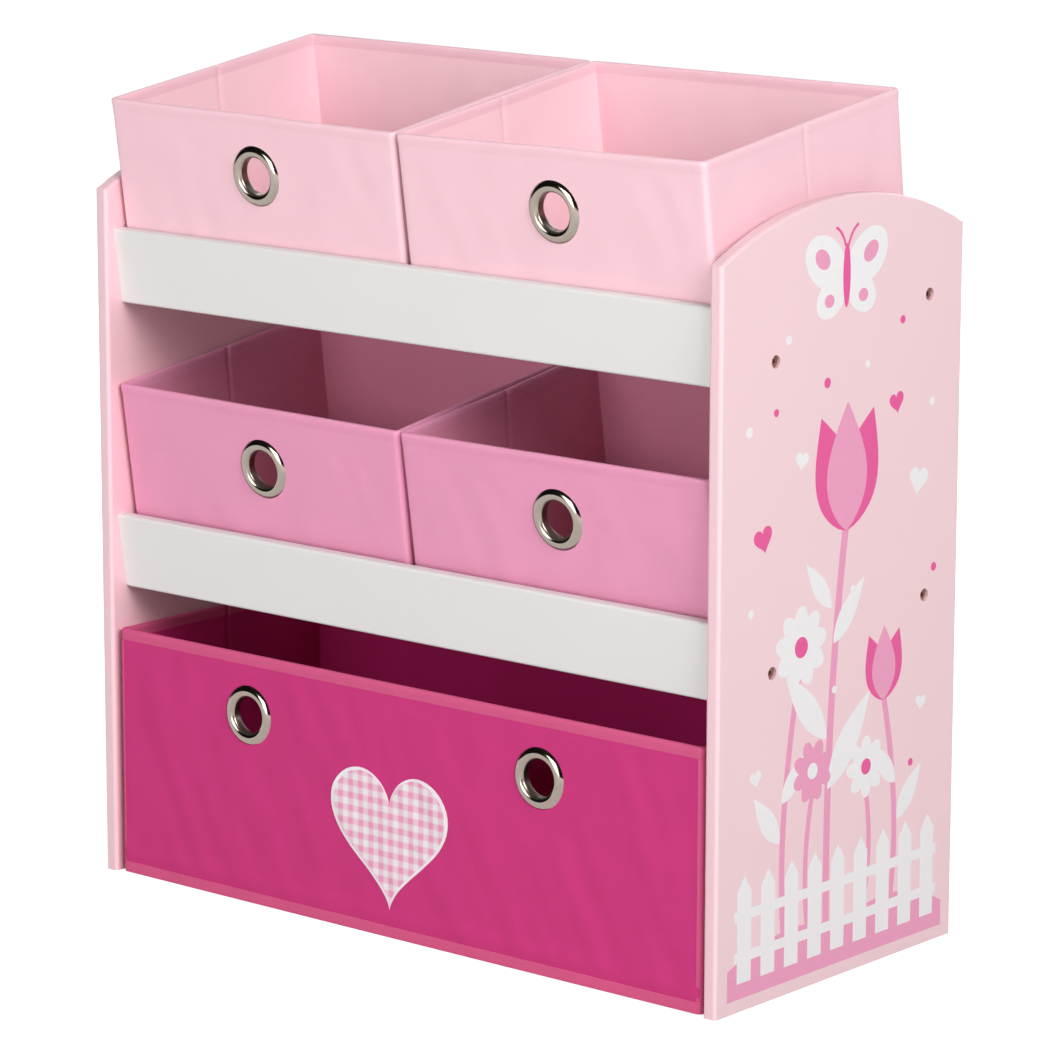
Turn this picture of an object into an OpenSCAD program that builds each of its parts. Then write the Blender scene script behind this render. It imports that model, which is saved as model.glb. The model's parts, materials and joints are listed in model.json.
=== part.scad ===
// Toy shelf: two arched side panels carry two forward-tilted trays. Four small fabric boxes stand in the
// trays behind white front rails, and one wide fabric box stands on the floor between the panels.
// Millimetres. +X right, -Y front, +Z up. Origin on the floor at the middle of the width and the depth.

/* [Side panels] */
// Overall width over the outer faces of the panels
frame_w = 635; // [560:5:720]
// Depth of a panel from front to back
panel_d = 300; // [290:5:340]
// Height of a panel at its front and back corners
panel_h = 564; // [520:5:640]
// Rise of the arched top above those corners
arc_rise = 36; // [20:0.5:60]
// Thickness of a panel
panel_t = 12; // [12:0.5:18]
// Radius of the eased edges of a panel
edge_r = 3; // [1:0.5:5]

/* [Trays] */
// Forward tilt of the trays in degrees
tray_tilt = 8; // [2:0.5:12]
// Height of the lower tray's board top at its rail
lower_tray_z = 253; // [244:0.5:265]
// Height from the lower tray to the upper tray
tray_pitch = 233.5; // [218:0.5:255]
// Thickness of a tray board
board_t = 12; // [12:0.5:16]
// Distance from the back edge of a board to the back edge of the panels
board_back_gap = 5; // [0:0.5:15]
// Radius of the eased back edges of a board
board_edge_r = 1.5; // [0.5:0.5:3]

/* [Front rails] */
// Height of a front rail
rail_h = 61.5; // [45:0.5:70]
// Thickness of a front rail
rail_t = 10; // [9:0.5:14]
// How far a rail hangs below its board
rail_drop = 3; // [0:0.5:6]
// Distance from the front of the panels back to the top edge of a rail
rail_setback = 7.8; // [3:0.2:14]
// Radius of the rail's long edges
rail_edge_r = 2.5; // [1:0.5:4]

/* [Side screws] */
// Distance from the front and back edge of a board to its screws
screw_inset = 40; // [25:1:70]
// Shank diameter
screw_shank_d = 5; // [4:0.5:6]
// Head diameter
screw_head_d = 9; // [8:0.5:11]
// Height of the straight rim of the head
screw_rim_h = 1; // [0.6:0.1:1.5]
// Length of a screw from the head's top to its tip
screw_len = 42; // [36:1:50]
// Depth of the head's top below the panel's outer face
screw_recess = 2.5; // [1:0.1:4]
// Diameter of the sunk mouth of a screw hole
screw_mouth_d = 10; // [10:0.5:13]
// Width across the flats of the hex socket
socket_w = 4; // [3:0.5:4.5]
// Depth of the hex socket
socket_depth = 2.2; // [1:0.1:2.5]

/* [Rail dowels] */
// Diameter of a dowel
dowel_d = 6; // [5:0.5:8]
// Length of a dowel
dowel_len = 26; // [20:1:34]
// Depth of a dowel hole in the rail
dowel_rail_depth = 6.5; // [4:0.5:7.5]
// Distance between neighbouring dowels
dowel_pitch = 200; // [120:5:240]
// Chamfer at the ends of a dowel
dowel_chamfer = 1; // [0.5:0.1:1.5]

/* [Fabric boxes] */
// Depth of a small box from front to back
small_box_d = 240; // [180:2:255]
// Height of a small box
small_box_h = 151; // [120:1:160]
// Depth of the wide box from front to back
wide_box_d = 240; // [220:5:285]
// Height of the wide box
wide_box_h = 205; // [160:1:212]
// Thickness of the outer fabric
fabric_t = 1; // [0.8:0.1:1.5]
// Thickness of the card boards in the walls
card_t = 2; // [1.5:0.1:3]
// Thickness of the lining
lining_t = 0.6; // [0.5:0.1:1]
// Thickness of the loose board on the bottom
base_board_t = 3; // [2:0.1:5]
// Outer radius of the upright corners
corner_r = 6; // [5:0.5:12]
// Width of the fold at the middle of the side walls, between the half boards
fold_gap = 4; // [3:0.5:8]
// Depth of the fold line pressed into the outer fabric
crease_depth = 0.5; // [0.2:0.1:0.6]
// Depth of the fold line pressed into the lining
lining_crease_depth = 0.3; // [0.1:0.1:0.4]

/* [Hems and bindings] */
// Height of the folded hem at the rim
hem_h = 9; // [6:0.5:14]
// Thickness of hem and binding
hem_t = 0.6; // [0.4:0.1:1]
// Height of the binding round the wide box's lower edge
binding_h = 9; // [6:0.5:14]
// Lift of that binding above the floor
binding_lift = 0.5; // [0.3:0.1:1]
// Width of the corner piping along each face
piping_w = 4.5; // [4:0.5:14]

/* [Eyelets] */
// Outer diameter of an eyelet
eyelet_d = 48.5; // [40:0.5:52]
// Diameter of the finger hole
eyelet_hole_d = 30; // [24:1:32]
// Height of the domed face
eyelet_rise = 2.5; // [2:0.1:3.5]
// Part of the face's width that lies between the hole and its crest
eyelet_crest_part = 0.42; // [0.35:0.01:0.6]
// Thickness of the sheet metal
sheet_t = 0.8; // [0.5:0.1:1]
// Outer diameter of the washer ring inside the box
washer_d = 42; // [38:1:46]
// Radius of the lip that is rolled over the washer ring
lip_r = 1.2; // [1:0.1:1.5]
// Distance from the rim of a small box down to the eyelet's centre
small_eyelet_drop = 50.5; // [40:0.5:70]
// Distance from the rim of the wide box down to the eyelets' centres
wide_eyelet_drop = 50; // [40:1:90]
// Distance from the middle of the wide box's front to the middle of its two eyelets, to the right
wide_eyelet_shift = -7; // [-12:0.5:12]

/* [Clearances] */
// Gap between a small box and the panel beside it
small_side_gap = 5; // [1:0.5:8]
// Gap between two small boxes on one tray
small_middle_gap = 3; // [1:0.5:8]
// Gap between a top box and the rail in front of it
top_front_gap = 0.5; // [0.4:0.1:8]
// Gap between a middle box and the rail in front of it
middle_front_gap = 5.5; // [0.4:0.1:8]
// Gap between a small box and its tray board
seat_gap = 0.3; // [0.2:0.1:0.5]
// Gap between the wide box and each panel
wide_side_gap = 4; // [1.5:0.5:8]
// Distance from the front of the panels back to the wide box
wide_inset = 3; // [2:0.5:10]
// Gap round the loose base board
base_board_gap = 1; // [0.5:0.1:2]
// Radial clearance of screws and dowels in their holes
fastener_fit = 0.1; // [0.05:0.05:0.2]
// Radial clearance of an eyelet's barrel in the wall
barrel_fit = 0.15; // [0.1:0.05:0.3]

/* [Hidden] */
$fn = 64;
eps = 0.01;

FRAME_NODES = [
    "left_side_panel", "right_side_panel", "upper_tray_board", "lower_tray_board",
    "upper_front_rail", "lower_front_rail", "side_screws", "rail_dowels"
];
BOX_NAMES = ["top_left_box", "top_right_box", "middle_left_box", "middle_right_box", "wide_box"];
BOX_PIECES = ["shell", "wall_boards", "base_board", "lining", "rim_hem", "eyelet_front", "eyelet_back"];

// Colours of the sub-parts
PANEL_PINK = "#F3D2D6";
RAIL_WHITE = "#E6E5E4";
FASTENER_STEEL = "#8C7B6E";
DOWEL_BEECH = "#D8B88A";
CARD_GREY = "#A79C90";
NICKEL = "#C9C7C0";
BINDING_PINK = "#D9588A";
TIER_FABRIC = ["#F7C6D0", "#E79AB9", "#CB3A80"];
TIER_LINING = ["#EDB4BE", "#8A4A68", "#640A32"];

// Widths between the panels and of the boxes
inner_w = frame_w - 2 * panel_t;
small_box_w = (inner_w - 2 * small_side_gap - small_middle_gap) / 2;
wide_box_w = inner_w - 2 * wide_side_gap;

// The arched top is a circle through both upper corners and the crown
arc_r = ((panel_d / 2) * (panel_d / 2) + arc_rise * arc_rise) / (2 * arc_rise);
arc_centre_z = panel_h + arc_rise - arc_r;

// Tray coordinates: the board's top is z = 0 and the rail's inner face is y = 0
rail_bottom = -board_t - rail_drop;
rail_top = rail_bottom + rail_h;
tray_y = -panel_d / 2 + rail_setback + rail_t * cos(tray_tilt) + rail_top * sin(tray_tilt);
board_d = (panel_d / 2 - board_back_gap - tray_y) / cos(tray_tilt);
upper_tray_z = lower_tray_z + tray_pitch;
screw_ys = [screw_inset, board_d - screw_inset];
dowel_xs = [for (step = [-1 : 1]) step * dowel_pitch];

// A screw's head tapers to its shank at 45 degrees on each side
screw_cone_h = (screw_head_d - screw_shank_d) / 2;
screw_shank_len = screw_len - screw_rim_h - screw_cone_h - screw_shank_d / 2;

// Thickness of a box wall from the outer fabric to the lining's inner face
wall_t = fabric_t + card_t + lining_t;
barrel_r = eyelet_hole_d / 2 + sheet_t;
// Corners inside the wall stay at least this round where the wall is thicker than the corner radius
min_corner_r = 0.3;

// Columns, tiers and sizes of the boxes, by their place in BOX_NAMES
WIDE = len(BOX_NAMES) - 1;
function is_wide(box) = box == WIDE;
function tier(box) = floor(box / 2);
function box_w(box) = is_wide(box) ? wide_box_w : small_box_w;
function box_d(box) = is_wide(box) ? wide_box_d : small_box_d;
function box_h(box) = is_wide(box) ? wide_box_h : small_box_h;
function eyelet_z(box) = box_h(box) - (is_wide(box) ? wide_eyelet_drop : small_eyelet_drop);
// The wide box's eyelets stand as far apart as those of the small boxes above
column_x = (small_middle_gap + small_box_w) / 2;
wide_eyelet_mid = wide_box_w / 2 + wide_eyelet_shift;
function eyelet_xs(box) = is_wide(box)
    ? [wide_eyelet_mid - column_x, wide_eyelet_mid + column_x]
    : [small_box_w / 2];

// Places

module in_tray(board_top_z) {
    translate([0, tray_y, board_top_z])
        rotate([tray_tilt, 0, 0])
            children();
}

module both_trays() {
    in_tray(lower_tray_z) children();
    in_tray(upper_tray_z) children();
}

module both_sides() {
    children();
    mirror([1, 0, 0]) children();
}

// Origin at the front, left, bottom corner of the box
module place_box(box) {
    if (is_wide(box)) {
        translate([-wide_box_w / 2, -panel_d / 2 + wide_inset, 0])
            children();
    } else {
        on_top = tier(box) == 0;
        left_x = box % 2 == 0 ? -small_middle_gap / 2 - small_box_w : small_middle_gap / 2;
        front_y = on_top ? top_front_gap : middle_front_gap;
        in_tray(on_top ? upper_tray_z : lower_tray_z)
            translate([left_x, front_y, seat_gap])
                children();
    }
}

// Outlines

module rounded_square(size, r) {
    translate([r, 0]) square([size.x - 2 * r, size.y]);
    translate([0, r]) square([size.x, size.y - 2 * r]);
    for (x = [r, size.x - r])
        for (y = [r, size.y - r])
            translate([x, y]) circle(r);
}

// Rounded block that lies inset from the outline of a box's fabric shell
module box_block(box, inset, height) {
    outer = hem_t + inset;
    size = [box_w(box) - 2 * outer, box_d(box) - 2 * outer];
    translate([outer, outer, 0])
        linear_extrude(height)
            rounded_square(size, max(corner_r - inset, min_corner_r));
}

// Frame

// Disc with eased rims, standing upright across X
module eased_disc(r, t, ease) {
    rotate([90, 0, 90])
        rotate_extrude($fn = 180) {
            square([r - ease, t]);
            translate([0, ease]) square([r, t - 2 * ease]);
            for (y = [ease, t - ease])
                translate([r - ease, y]) circle(ease);
        }
}

module side_panel_blank() {
    intersection() {
        translate([0, -panel_d / 2, 0])
            linear_extrude(panel_h + arc_rise)
                rounded_square([panel_t, panel_d], edge_r);
        union() {
            translate([0, 0, arc_centre_z])
                eased_disc(arc_r, panel_t, edge_r);
            translate([0, -panel_d / 2, 0])
                cube([panel_t, panel_d, panel_h - edge_r]);
        }
    }
}

// Screw from the top of its head along +Z, or its hole when it is widened by fit
module screw_blank(fit) {
    cylinder(h = screw_rim_h + fit, r = screw_head_d / 2 + fit);
    translate([0, 0, screw_rim_h + fit])
        cylinder(h = screw_cone_h, r1 = screw_head_d / 2 + fit, r2 = screw_shank_d / 2 + fit);
    translate([0, 0, screw_rim_h + screw_cone_h])
        cylinder(h = screw_shank_len + fit, r = screw_shank_d / 2 + fit);
    translate([0, 0, screw_rim_h + screw_cone_h + screw_shank_len + fit])
        cylinder(h = screw_shank_d / 2, r1 = screw_shank_d / 2 + fit, r2 = 0.3);
}

// Every screw position on the right side, with +Z pointing into the panel
module at_screws() {
    both_trays()
        for (y = screw_ys)
            translate([frame_w / 2 - screw_recess, y, -board_t / 2])
                rotate([0, -90, 0])
                    children();
}

module right_side_panel() {
    color(PANEL_PINK)
        difference() {
            translate([inner_w / 2, 0, 0]) side_panel_blank();
            at_screws() {
                screw_blank(fastener_fit);
                translate([0, 0, -screw_recess - eps])
                    cylinder(h = screw_recess + screw_rim_h + eps, d = screw_mouth_d);
            }
        }
}

module left_side_panel() {
    mirror([1, 0, 0]) right_side_panel();
}

module side_screws() {
    color(FASTENER_STEEL)
        both_sides()
            at_screws()
                difference() {
                    screw_blank(0);
                    translate([0, 0, -eps])
                        cylinder(h = socket_depth + eps, d = socket_w / cos(30), $fn = 6);
                }
}

// Dowel along +Z from its end in the rail
module dowel_blank(fit) {
    straight = dowel_len - 2 * dowel_chamfer;
    r = dowel_d / 2 + fit;
    cylinder(h = dowel_chamfer, r1 = r - dowel_chamfer, r2 = r);
    translate([0, 0, dowel_chamfer]) cylinder(h = straight, r = r);
    translate([0, 0, dowel_chamfer + straight]) cylinder(h = dowel_chamfer, r1 = r, r2 = r - dowel_chamfer);
}

// Every dowel position in tray coordinates, with +Z pointing back into the board
module at_dowels() {
    for (x = dowel_xs)
        translate([x, -dowel_rail_depth, -board_t / 2])
            rotate([-90, 0, 0])
                children();
}

module dowel_holes() {
    at_dowels() cylinder(h = dowel_len + fastener_fit, r = dowel_d / 2 + fastener_fit);
}

module rail_dowels() {
    color(DOWEL_BEECH)
        both_trays() at_dowels() dowel_blank(0);
}

// Board between the panels: square front edge against the rail, eased back edge
module tray_board() {
    difference() {
        translate([-inner_w / 2, 0, -board_t])
            rotate([90, 0, 90])
                linear_extrude(inner_w) {
                    rounded_square([board_d, board_t], board_edge_r);
                    square([board_d / 2, board_t]);
                }
        dowel_holes();
        both_sides()
            for (y = screw_ys)
                translate([frame_w / 2 - screw_recess, y, -board_t / 2])
                    rotate([0, -90, 0])
                        cylinder(h = screw_len + fastener_fit, r = screw_shank_d / 2 + fastener_fit);
    }
}

module upper_tray_board() {
    color(RAIL_WHITE) in_tray(upper_tray_z) tray_board();
}

module lower_tray_board() {
    color(RAIL_WHITE) in_tray(lower_tray_z) tray_board();
}

module front_rail() {
    difference() {
        translate([-inner_w / 2, -rail_t, rail_bottom])
            rotate([90, 0, 90])
                linear_extrude(inner_w)
                    rounded_square([rail_t, rail_h], rail_edge_r);
        dowel_holes();
    }
}

module upper_front_rail() {
    color(RAIL_WHITE) in_tray(upper_tray_z) front_rail();
}

module lower_front_rail() {
    color(RAIL_WHITE) in_tray(lower_tray_z) front_rail();
}

// Fabric boxes

// Every eyelet position of a box, on the fabric's front face with +Z pointing out of the box
module at_eyelets(box) {
    for (x = eyelet_xs(box))
        translate([x, hem_t, eyelet_z(box)])
            rotate([90, 0, 0])
                children();
}

module eyelet_bores(box) {
    at_eyelets(box)
        translate([0, 0, -wall_t - eps])
            cylinder(h = wall_t + 2 * eps, r = barrel_r + barrel_fit);
}

// Upright V-grooves at the middle of both side walls, at a distance from the box's outline
module fold_lines(box, inset, depth) {
    side = depth * sqrt(2);
    for (x = [hem_t + inset, box_w(box) - hem_t - inset])
        translate([x, box_d(box) / 2, fabric_t])
            rotate([0, 0, 45])
                translate([-side / 2, -side / 2, 0])
                    cube([side, side, box_h(box)]);
}

// Outer fabric: four walls and the bottom, with the fold lines of the side walls
module box_shell(box) {
    color(TIER_FABRIC[tier(box)])
        difference() {
            box_block(box, 0, box_h(box) - hem_t);
            translate([0, 0, fabric_t]) box_block(box, fabric_t, box_h(box));
            eyelet_bores(box);
            fold_lines(box, 0, crease_depth);
        }
}

// Card boards in the wall pockets: one in front, one behind, and two that fold in each side wall
module box_wall_boards(box) {
    height = box_h(box) - hem_t - fabric_t;
    near = hem_t + fabric_t;
    side_run = box_d(box) - 2 * (hem_t + corner_r);
    half_run = (side_run - fold_gap) / 2;
    color(CARD_GREY)
        difference() {
            translate([0, 0, fabric_t]) {
                for (y = [near, box_d(box) - near - card_t])
                    translate([hem_t + corner_r, y, 0])
                        cube([box_w(box) - 2 * (hem_t + corner_r), card_t, height]);
                for (x = [near, box_w(box) - near - card_t])
                    for (y = [hem_t + corner_r, hem_t + corner_r + half_run + fold_gap])
                        translate([x, y, 0])
                            cube([card_t, half_run, height]);
            }
            eyelet_bores(box);
        }
}

// Loose board that lies on the bottom inside the lining
module box_base_board(box) {
    color(CARD_GREY)
        translate([0, 0, fabric_t])
            box_block(box, wall_t + base_board_gap, base_board_t);
}

// Inner fabric of the walls
module box_lining(box) {
    color(TIER_LINING[tier(box)])
        difference() {
            translate([0, 0, fabric_t]) box_block(box, fabric_t + card_t, box_h(box) - hem_t - fabric_t);
            box_block(box, wall_t, box_h(box));
            eyelet_bores(box);
            fold_lines(box, wall_t, lining_crease_depth);
        }
}

// Folded strip that closes the pockets at the rim
module box_rim_hem(box) {
    color(is_wide(box) ? BINDING_PINK : TIER_FABRIC[tier(box)])
        translate([0, 0, box_h(box) - hem_h])
            difference() {
                box_block(box, -hem_t, hem_h);
                translate([0, 0, -eps]) box_block(box, wall_t + hem_t, hem_h + 2 * eps);
                translate([0, 0, -eps])
                    difference() {
                        box_block(box, 0, hem_h - hem_t + eps);
                        box_block(box, wall_t, hem_h);
                    }
            }
}

// Half section of an eyelet's dome above y = 0, inset from its outer face: two arcs that meet at the crest
module dome_section(inset) {
    inner_r = eyelet_hole_d / 2;
    inner_w = (eyelet_d / 2 - inner_r) * eyelet_crest_part;
    crest_x = inner_r + inner_w;
    outer_w = eyelet_d / 2 - crest_x;
    for (side = [[inner_r, inner_w], [crest_x, outer_w]]) {
        bend_r = (side[1] * side[1] + eyelet_rise * eyelet_rise) / (2 * eyelet_rise);
        intersection() {
            translate([crest_x, eyelet_rise - bend_r]) circle(bend_r - inset);
            translate([side[0], 0]) square([side[1], eyelet_rise]);
        }
    }
}

// Face ring with its barrel through the wall and the lip that is rolled over the washer
module box_eyelet_front(box) {
    hole_r = eyelet_hole_d / 2;
    barrel_len = wall_t + sheet_t + lip_r;
    color(NICKEL)
        at_eyelets(box)
            rotate_extrude() {
                difference() {
                    dome_section(0);
                    dome_section(sheet_t);
                }
                translate([hole_r, -barrel_len]) square([sheet_t, barrel_len]);
                translate([hole_r + lip_r, -barrel_len]) circle(lip_r, $fn = 32);
            }
}

// Washer ring on the lining
module box_eyelet_back(box) {
    inner_r = barrel_r + barrel_fit;
    flat_w = washer_d / 2 - inner_r - sheet_t / 2;
    color(NICKEL)
        at_eyelets(box)
            rotate_extrude()
                translate([inner_r, -wall_t - sheet_t]) {
                    square([flat_w, sheet_t]);
                    translate([flat_w, sheet_t / 2]) circle(sheet_t / 2, $fn = 32);
                }
}

// Tape round a box, between two heights, outside its fabric shell
module tape_ring(box, from_z, to_z) {
    translate([0, 0, from_z])
        difference() {
            box_block(box, -hem_t, to_z - from_z);
            translate([0, 0, -eps]) box_block(box, 0, to_z - from_z + 2 * eps);
        }
}

module wide_box_bottom_binding() {
    color(BINDING_PINK) tape_ring(WIDE, binding_lift, binding_lift + binding_h);
}

module wide_box_corner_piping() {
    color(BINDING_PINK)
        intersection() {
            tape_ring(WIDE, binding_lift + binding_h, wide_box_h - hem_h);
            for (x = [0, wide_box_w - piping_w])
                for (y = [0, wide_box_d - piping_w])
                    translate([x, y, 0])
                        cube([piping_w, piping_w, wide_box_h]);
        }
}

left_side_panel();
right_side_panel();
upper_tray_board();
lower_tray_board();
upper_front_rail();
lower_front_rail();
side_screws();
rail_dowels();
for (box = [0 : len(BOX_NAMES) - 1]) {
    name = BOX_NAMES[box];
    place_box(box) box_shell(box);
    place_box(box) box_wall_boards(box);
    place_box(box) box_base_board(box);
    place_box(box) box_lining(box);
    place_box(box) box_rim_hem(box);
    place_box(box) box_eyelet_front(box);
    place_box(box) box_eyelet_back(box);
}
place_box(WIDE) wide_box_bottom_binding();
place_box(WIDE) wide_box_corner_piping();
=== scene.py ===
import json
import math
from functools import cache

import bpy
import numpy as np
from mathutils import Matrix, Vector, noise


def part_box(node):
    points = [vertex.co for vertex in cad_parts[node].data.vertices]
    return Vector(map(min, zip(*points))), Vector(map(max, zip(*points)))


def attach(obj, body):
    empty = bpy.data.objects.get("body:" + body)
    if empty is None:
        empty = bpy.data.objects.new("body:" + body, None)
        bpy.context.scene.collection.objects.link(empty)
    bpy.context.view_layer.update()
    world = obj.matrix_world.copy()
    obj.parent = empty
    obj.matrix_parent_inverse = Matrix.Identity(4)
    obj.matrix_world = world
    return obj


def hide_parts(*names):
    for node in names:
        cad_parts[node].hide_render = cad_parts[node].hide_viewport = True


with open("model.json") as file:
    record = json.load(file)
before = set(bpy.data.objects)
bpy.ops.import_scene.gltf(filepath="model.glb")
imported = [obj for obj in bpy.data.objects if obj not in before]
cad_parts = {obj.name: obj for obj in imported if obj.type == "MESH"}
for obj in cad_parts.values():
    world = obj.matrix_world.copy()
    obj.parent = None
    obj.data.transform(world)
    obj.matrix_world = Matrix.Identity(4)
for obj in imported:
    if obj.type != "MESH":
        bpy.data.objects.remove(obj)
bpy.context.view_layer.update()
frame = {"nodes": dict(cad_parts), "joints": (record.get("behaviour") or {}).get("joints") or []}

bl_info = {
    "name": "Toy Shelf with Fabric Boxes",
    "version": (1, 0, 0),
    "blender": (4, 5, 0),
    "location": "View3D > Sidebar > Toy Shelf",
    "description": "Dresses the toy shelf: painted boards, printed panels and soft fabric boxes",
    "category": "Object",
}

MM = 0.001
BOX_NAMES = ("top_left_box", "top_right_box", "middle_left_box", "middle_right_box", "wide_box")
WIDE = "wide_box"

# Thicknesses of a box wall, as in the CAD model
HEM_T = 0.6 * MM
FABRIC_T = 1.0 * MM
CARD_T = 2.0 * MM
LINING_T = 0.6 * MM
WALL_T = FABRIC_T + CARD_T + LINING_T
# The cloth bends round its corners more tightly than the CAD's 6 mm
CORNER_R = 4.6 * MM
FOOT_R = 2.6 * MM
HEM_H = 9.0 * MM
BINDING_LIFT = 0.5 * MM
BINDING_H = 9.0 * MM
BINDING_TOP = BINDING_LIFT + BINDING_H
PIPING_W = 4.5 * MM
FOLD_GAP = 4.0 * MM

# Nickel eyelet, as in the CAD model, and half the square of mesh that is laid in rings round it
EYELET_R = 24.25 * MM
BORE_R = 15.95 * MM
SQUARE = 30 * MM

# Depth to which printed shapes reach into the paint, so that no gap shows
PRINT_SINK = 0.02 * MM
SHELF_MIDDLE = Vector((0, 0, 0.3))


def to_linear(code):
    """Linear RGB of an sRGB hex code such as F3D2D6."""
    channels = [int(code[i:i + 2], 16) / 255 for i in (0, 2, 4)]
    return tuple(c / 12.92 if c <= 0.04045 else ((c + 0.055) / 1.055) ** 2.4 for c in channels)


def smooth(low, high, values):
    """Smooth step of values from low to high."""
    t = np.clip((values - low) / (high - low), 0, 1)
    return t * t * (3 - 2 * t)


# Settings that a user may change

def colour_setting(name, description, code):
    """A colour, given as an sRGB hex code."""
    return bpy.props.FloatVectorProperty(
        name=name, description=description, size=3, subtype="COLOR", min=0, max=1, default=to_linear(code))


def length_setting(name, description, default, low, high):
    """A length, given in millimetres and kept in metres."""
    return bpy.props.FloatProperty(
        name=name, description=description, default=default * MM, min=low * MM, max=high * MM, unit="LENGTH")


def angle_setting(name, description, degrees):
    """An angle, given in degrees."""
    return bpy.props.FloatProperty(
        name=name, description=description, subtype="ANGLE", default=math.radians(degrees))


def power_setting(name, description, watts):
    """The power of a lamp."""
    return bpy.props.FloatProperty(
        name=name, description=description, default=watts, min=0, max=1000, unit="POWER")


class ShelfColours(bpy.types.PropertyGroup):
    """Colours of the paints, cloths and prints."""
    panel_paint: colour_setting("Panel paint", "Satin paint of the side panels", "EACACF")
    # Painted shade: the panels' edges get a darker colour than their faces
    panel_edge_painted_shade: colour_setting(
        "Panel edge paint", "Satin paint on the panels' edges, which soak up more of it", "E6C1C8")
    # Painted light: the panels' inner faces get a lighter, pinker colour than their outer faces, for the
    # light and pink bounce light on them
    panel_inner_painted_light: colour_setting("Panel inner paint", "Satin paint on the panels' inner faces", "F6C6CF")
    rail_paint: colour_setting("Rail paint", "Satin paint of the rails and tray boards", "DDDCDA")
    top_cloth: colour_setting("Top cloth", "Cloth of the two top boxes", "EFC5CF")
    middle_cloth: colour_setting("Middle cloth", "Cloth of the two middle boxes", "E295B5")
    wide_cloth: colour_setting("Wide cloth", "Cloth of the wide box", "C22D74")
    # Painted light: the top boxes' lining is a lighter copy of their cloth, for the light inside them
    top_lining: colour_setting("Top lining", "Lining of the two top boxes", "F4CDD5")
    # Painted shade: the middle and wide boxes' linings are darker, deeper copies of their cloths, for the
    # shade inside them
    middle_lining: colour_setting("Middle lining", "Lining of the two middle boxes", "DB8CA7")
    wide_lining: colour_setting("Wide lining", "Lining of the wide box", "C41770")
    tape: colour_setting("Tape", "Binding tape of the wide box", "CD5280")
    print_white: colour_setting("White print", "White ink on the panels", "E9E6E7")
    print_hot: colour_setting("Hot pink print", "Hot pink ink on the panels", "DE5193")
    print_mid: colour_setting("Mid pink print", "Mid pink ink on the panels", "E497B8")


class ShelfCloth(bpy.types.PropertyGroup):
    """Sizes of the folds, wrinkles and stitches."""
    grid_step: length_setting("Grid step", "Spacing of the cloth's mesh", 5, 3, 15)
    wrinkle_depth: length_setting(
        "Wrinkle depth", "Depth of the soft wrinkles in the wide box's walls", 1.1, 0, 3)
    crease_depth: length_setting("Crease depth", "Depth of the fold line of a side wall", 0.8, 0, 3)
    stitch_pitch: length_setting("Stitch pitch", "Distance from one stitch to the next", 3.4, 2, 8)
    stitch_length: length_setting("Stitch length", "Length of one stitch", 2.4, 1, 6)
    thread_thickness: length_setting("Thread thickness", "Diameter of the sewing thread", 0.4, 0.2, 1)


class ShelfStage(bpy.types.PropertyGroup):
    """Camera, lamps and floor."""
    camera_place: bpy.props.FloatVectorProperty(
        name="Camera place", description="Where the camera stands",
        size=3, subtype="TRANSLATION", unit="LENGTH", default=(2.3923, -2.8254, 1.0818))
    camera_yaw: angle_setting("Camera yaw", "Turn of the camera to the left of straight on", 40.1265)
    camera_pitch: angle_setting("Camera pitch", "How far the camera looks down", 11.8594)
    camera_roll: angle_setting("Camera roll", "Roll of the camera", 0.0959)
    lens: bpy.props.FloatProperty(
        name="Lens", description="Focal length in millimetres on a 36 mm sensor",
        default=162.41, min=20, max=400)
    front_power: power_setting("Front lamp", "Power of the large soft lamp in front", 80.5)
    right_power: power_setting("Right lamp", "Power of the large soft lamp on the right", 112.5)
    rear_power: power_setting(
        "Rear lamp", "Power of the soft lamp behind, twice that of the one on the left", 45)
    world_light: bpy.props.FloatProperty(
        name="World light", description="Strength of the even light from all sides",
        default=0.05, min=0, max=2)


# Materials

def put(tree, kind, inputs=None, **settings):
    """Adds a node, sets its properties and fills its inputs with values, sockets or a node's first output."""
    node = tree.nodes.new(kind)
    for name, value in settings.items():
        setattr(node, name, value)
    for key, value in (inputs or {}).items():
        if isinstance(value, bpy.types.Node):
            value = next(socket for socket in value.outputs if socket.enabled)
        if isinstance(value, bpy.types.NodeSocket):
            tree.links.new(value, node.inputs[key])
        else:
            node.inputs[key].default_value = value
    return node


def new_material(name):
    """An empty node material, its tree and its object coordinates."""
    material = bpy.data.materials.new(name)
    material.use_nodes = True
    material.node_tree.nodes.clear()
    coordinates = put(material.node_tree, "ShaderNodeTexCoord")
    return material, material.node_tree, coordinates.outputs["Object"]


def close_material(material, surface):
    """Gives a material the shader of its surface and joins it to the output."""
    tree = material.node_tree
    shader = put(tree, "ShaderNodeBsdfPrincipled", surface)
    put(tree, "ShaderNodeOutputMaterial", {"Surface": shader})
    return material


def shade(colour, factor=1.0):
    """A linear colour or sRGB hex code made lighter or darker, with alpha."""
    if isinstance(colour, str):
        colour = to_linear(colour)
    return tuple(min(1.0, c * factor) for c in colour) + (1.0,)


def speckled(name, dark, light, scale, detail, surface, rough=None, relief=None, stretch=None):
    """A material whose fine specks go from dark to light and may change its roughness and height too."""
    material, tree, place = new_material(name)
    if stretch:
        place = put(tree, "ShaderNodeMapping", {"Vector": place, "Scale": stretch})
    specks = put(tree, "ShaderNodeTexNoise", {"Vector": place, "Scale": scale, "Detail": detail})
    tone = put(tree, "ShaderNodeMix", {"Factor": specks, "A": dark, "B": light}, data_type="RGBA")
    surface = {"Base Color": tone, **surface}
    if rough:
        low, high = rough
        surface["Roughness"] = put(tree, "ShaderNodeMapRange", {
            "Value": specks, "To Min": low, "To Max": high})
    if relief:
        strength, height = relief
        surface["Normal"] = put(tree, "ShaderNodeBump", {
            "Height": specks, "Strength": strength, "Distance": height * MM})
    return close_material(material, surface)


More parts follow.
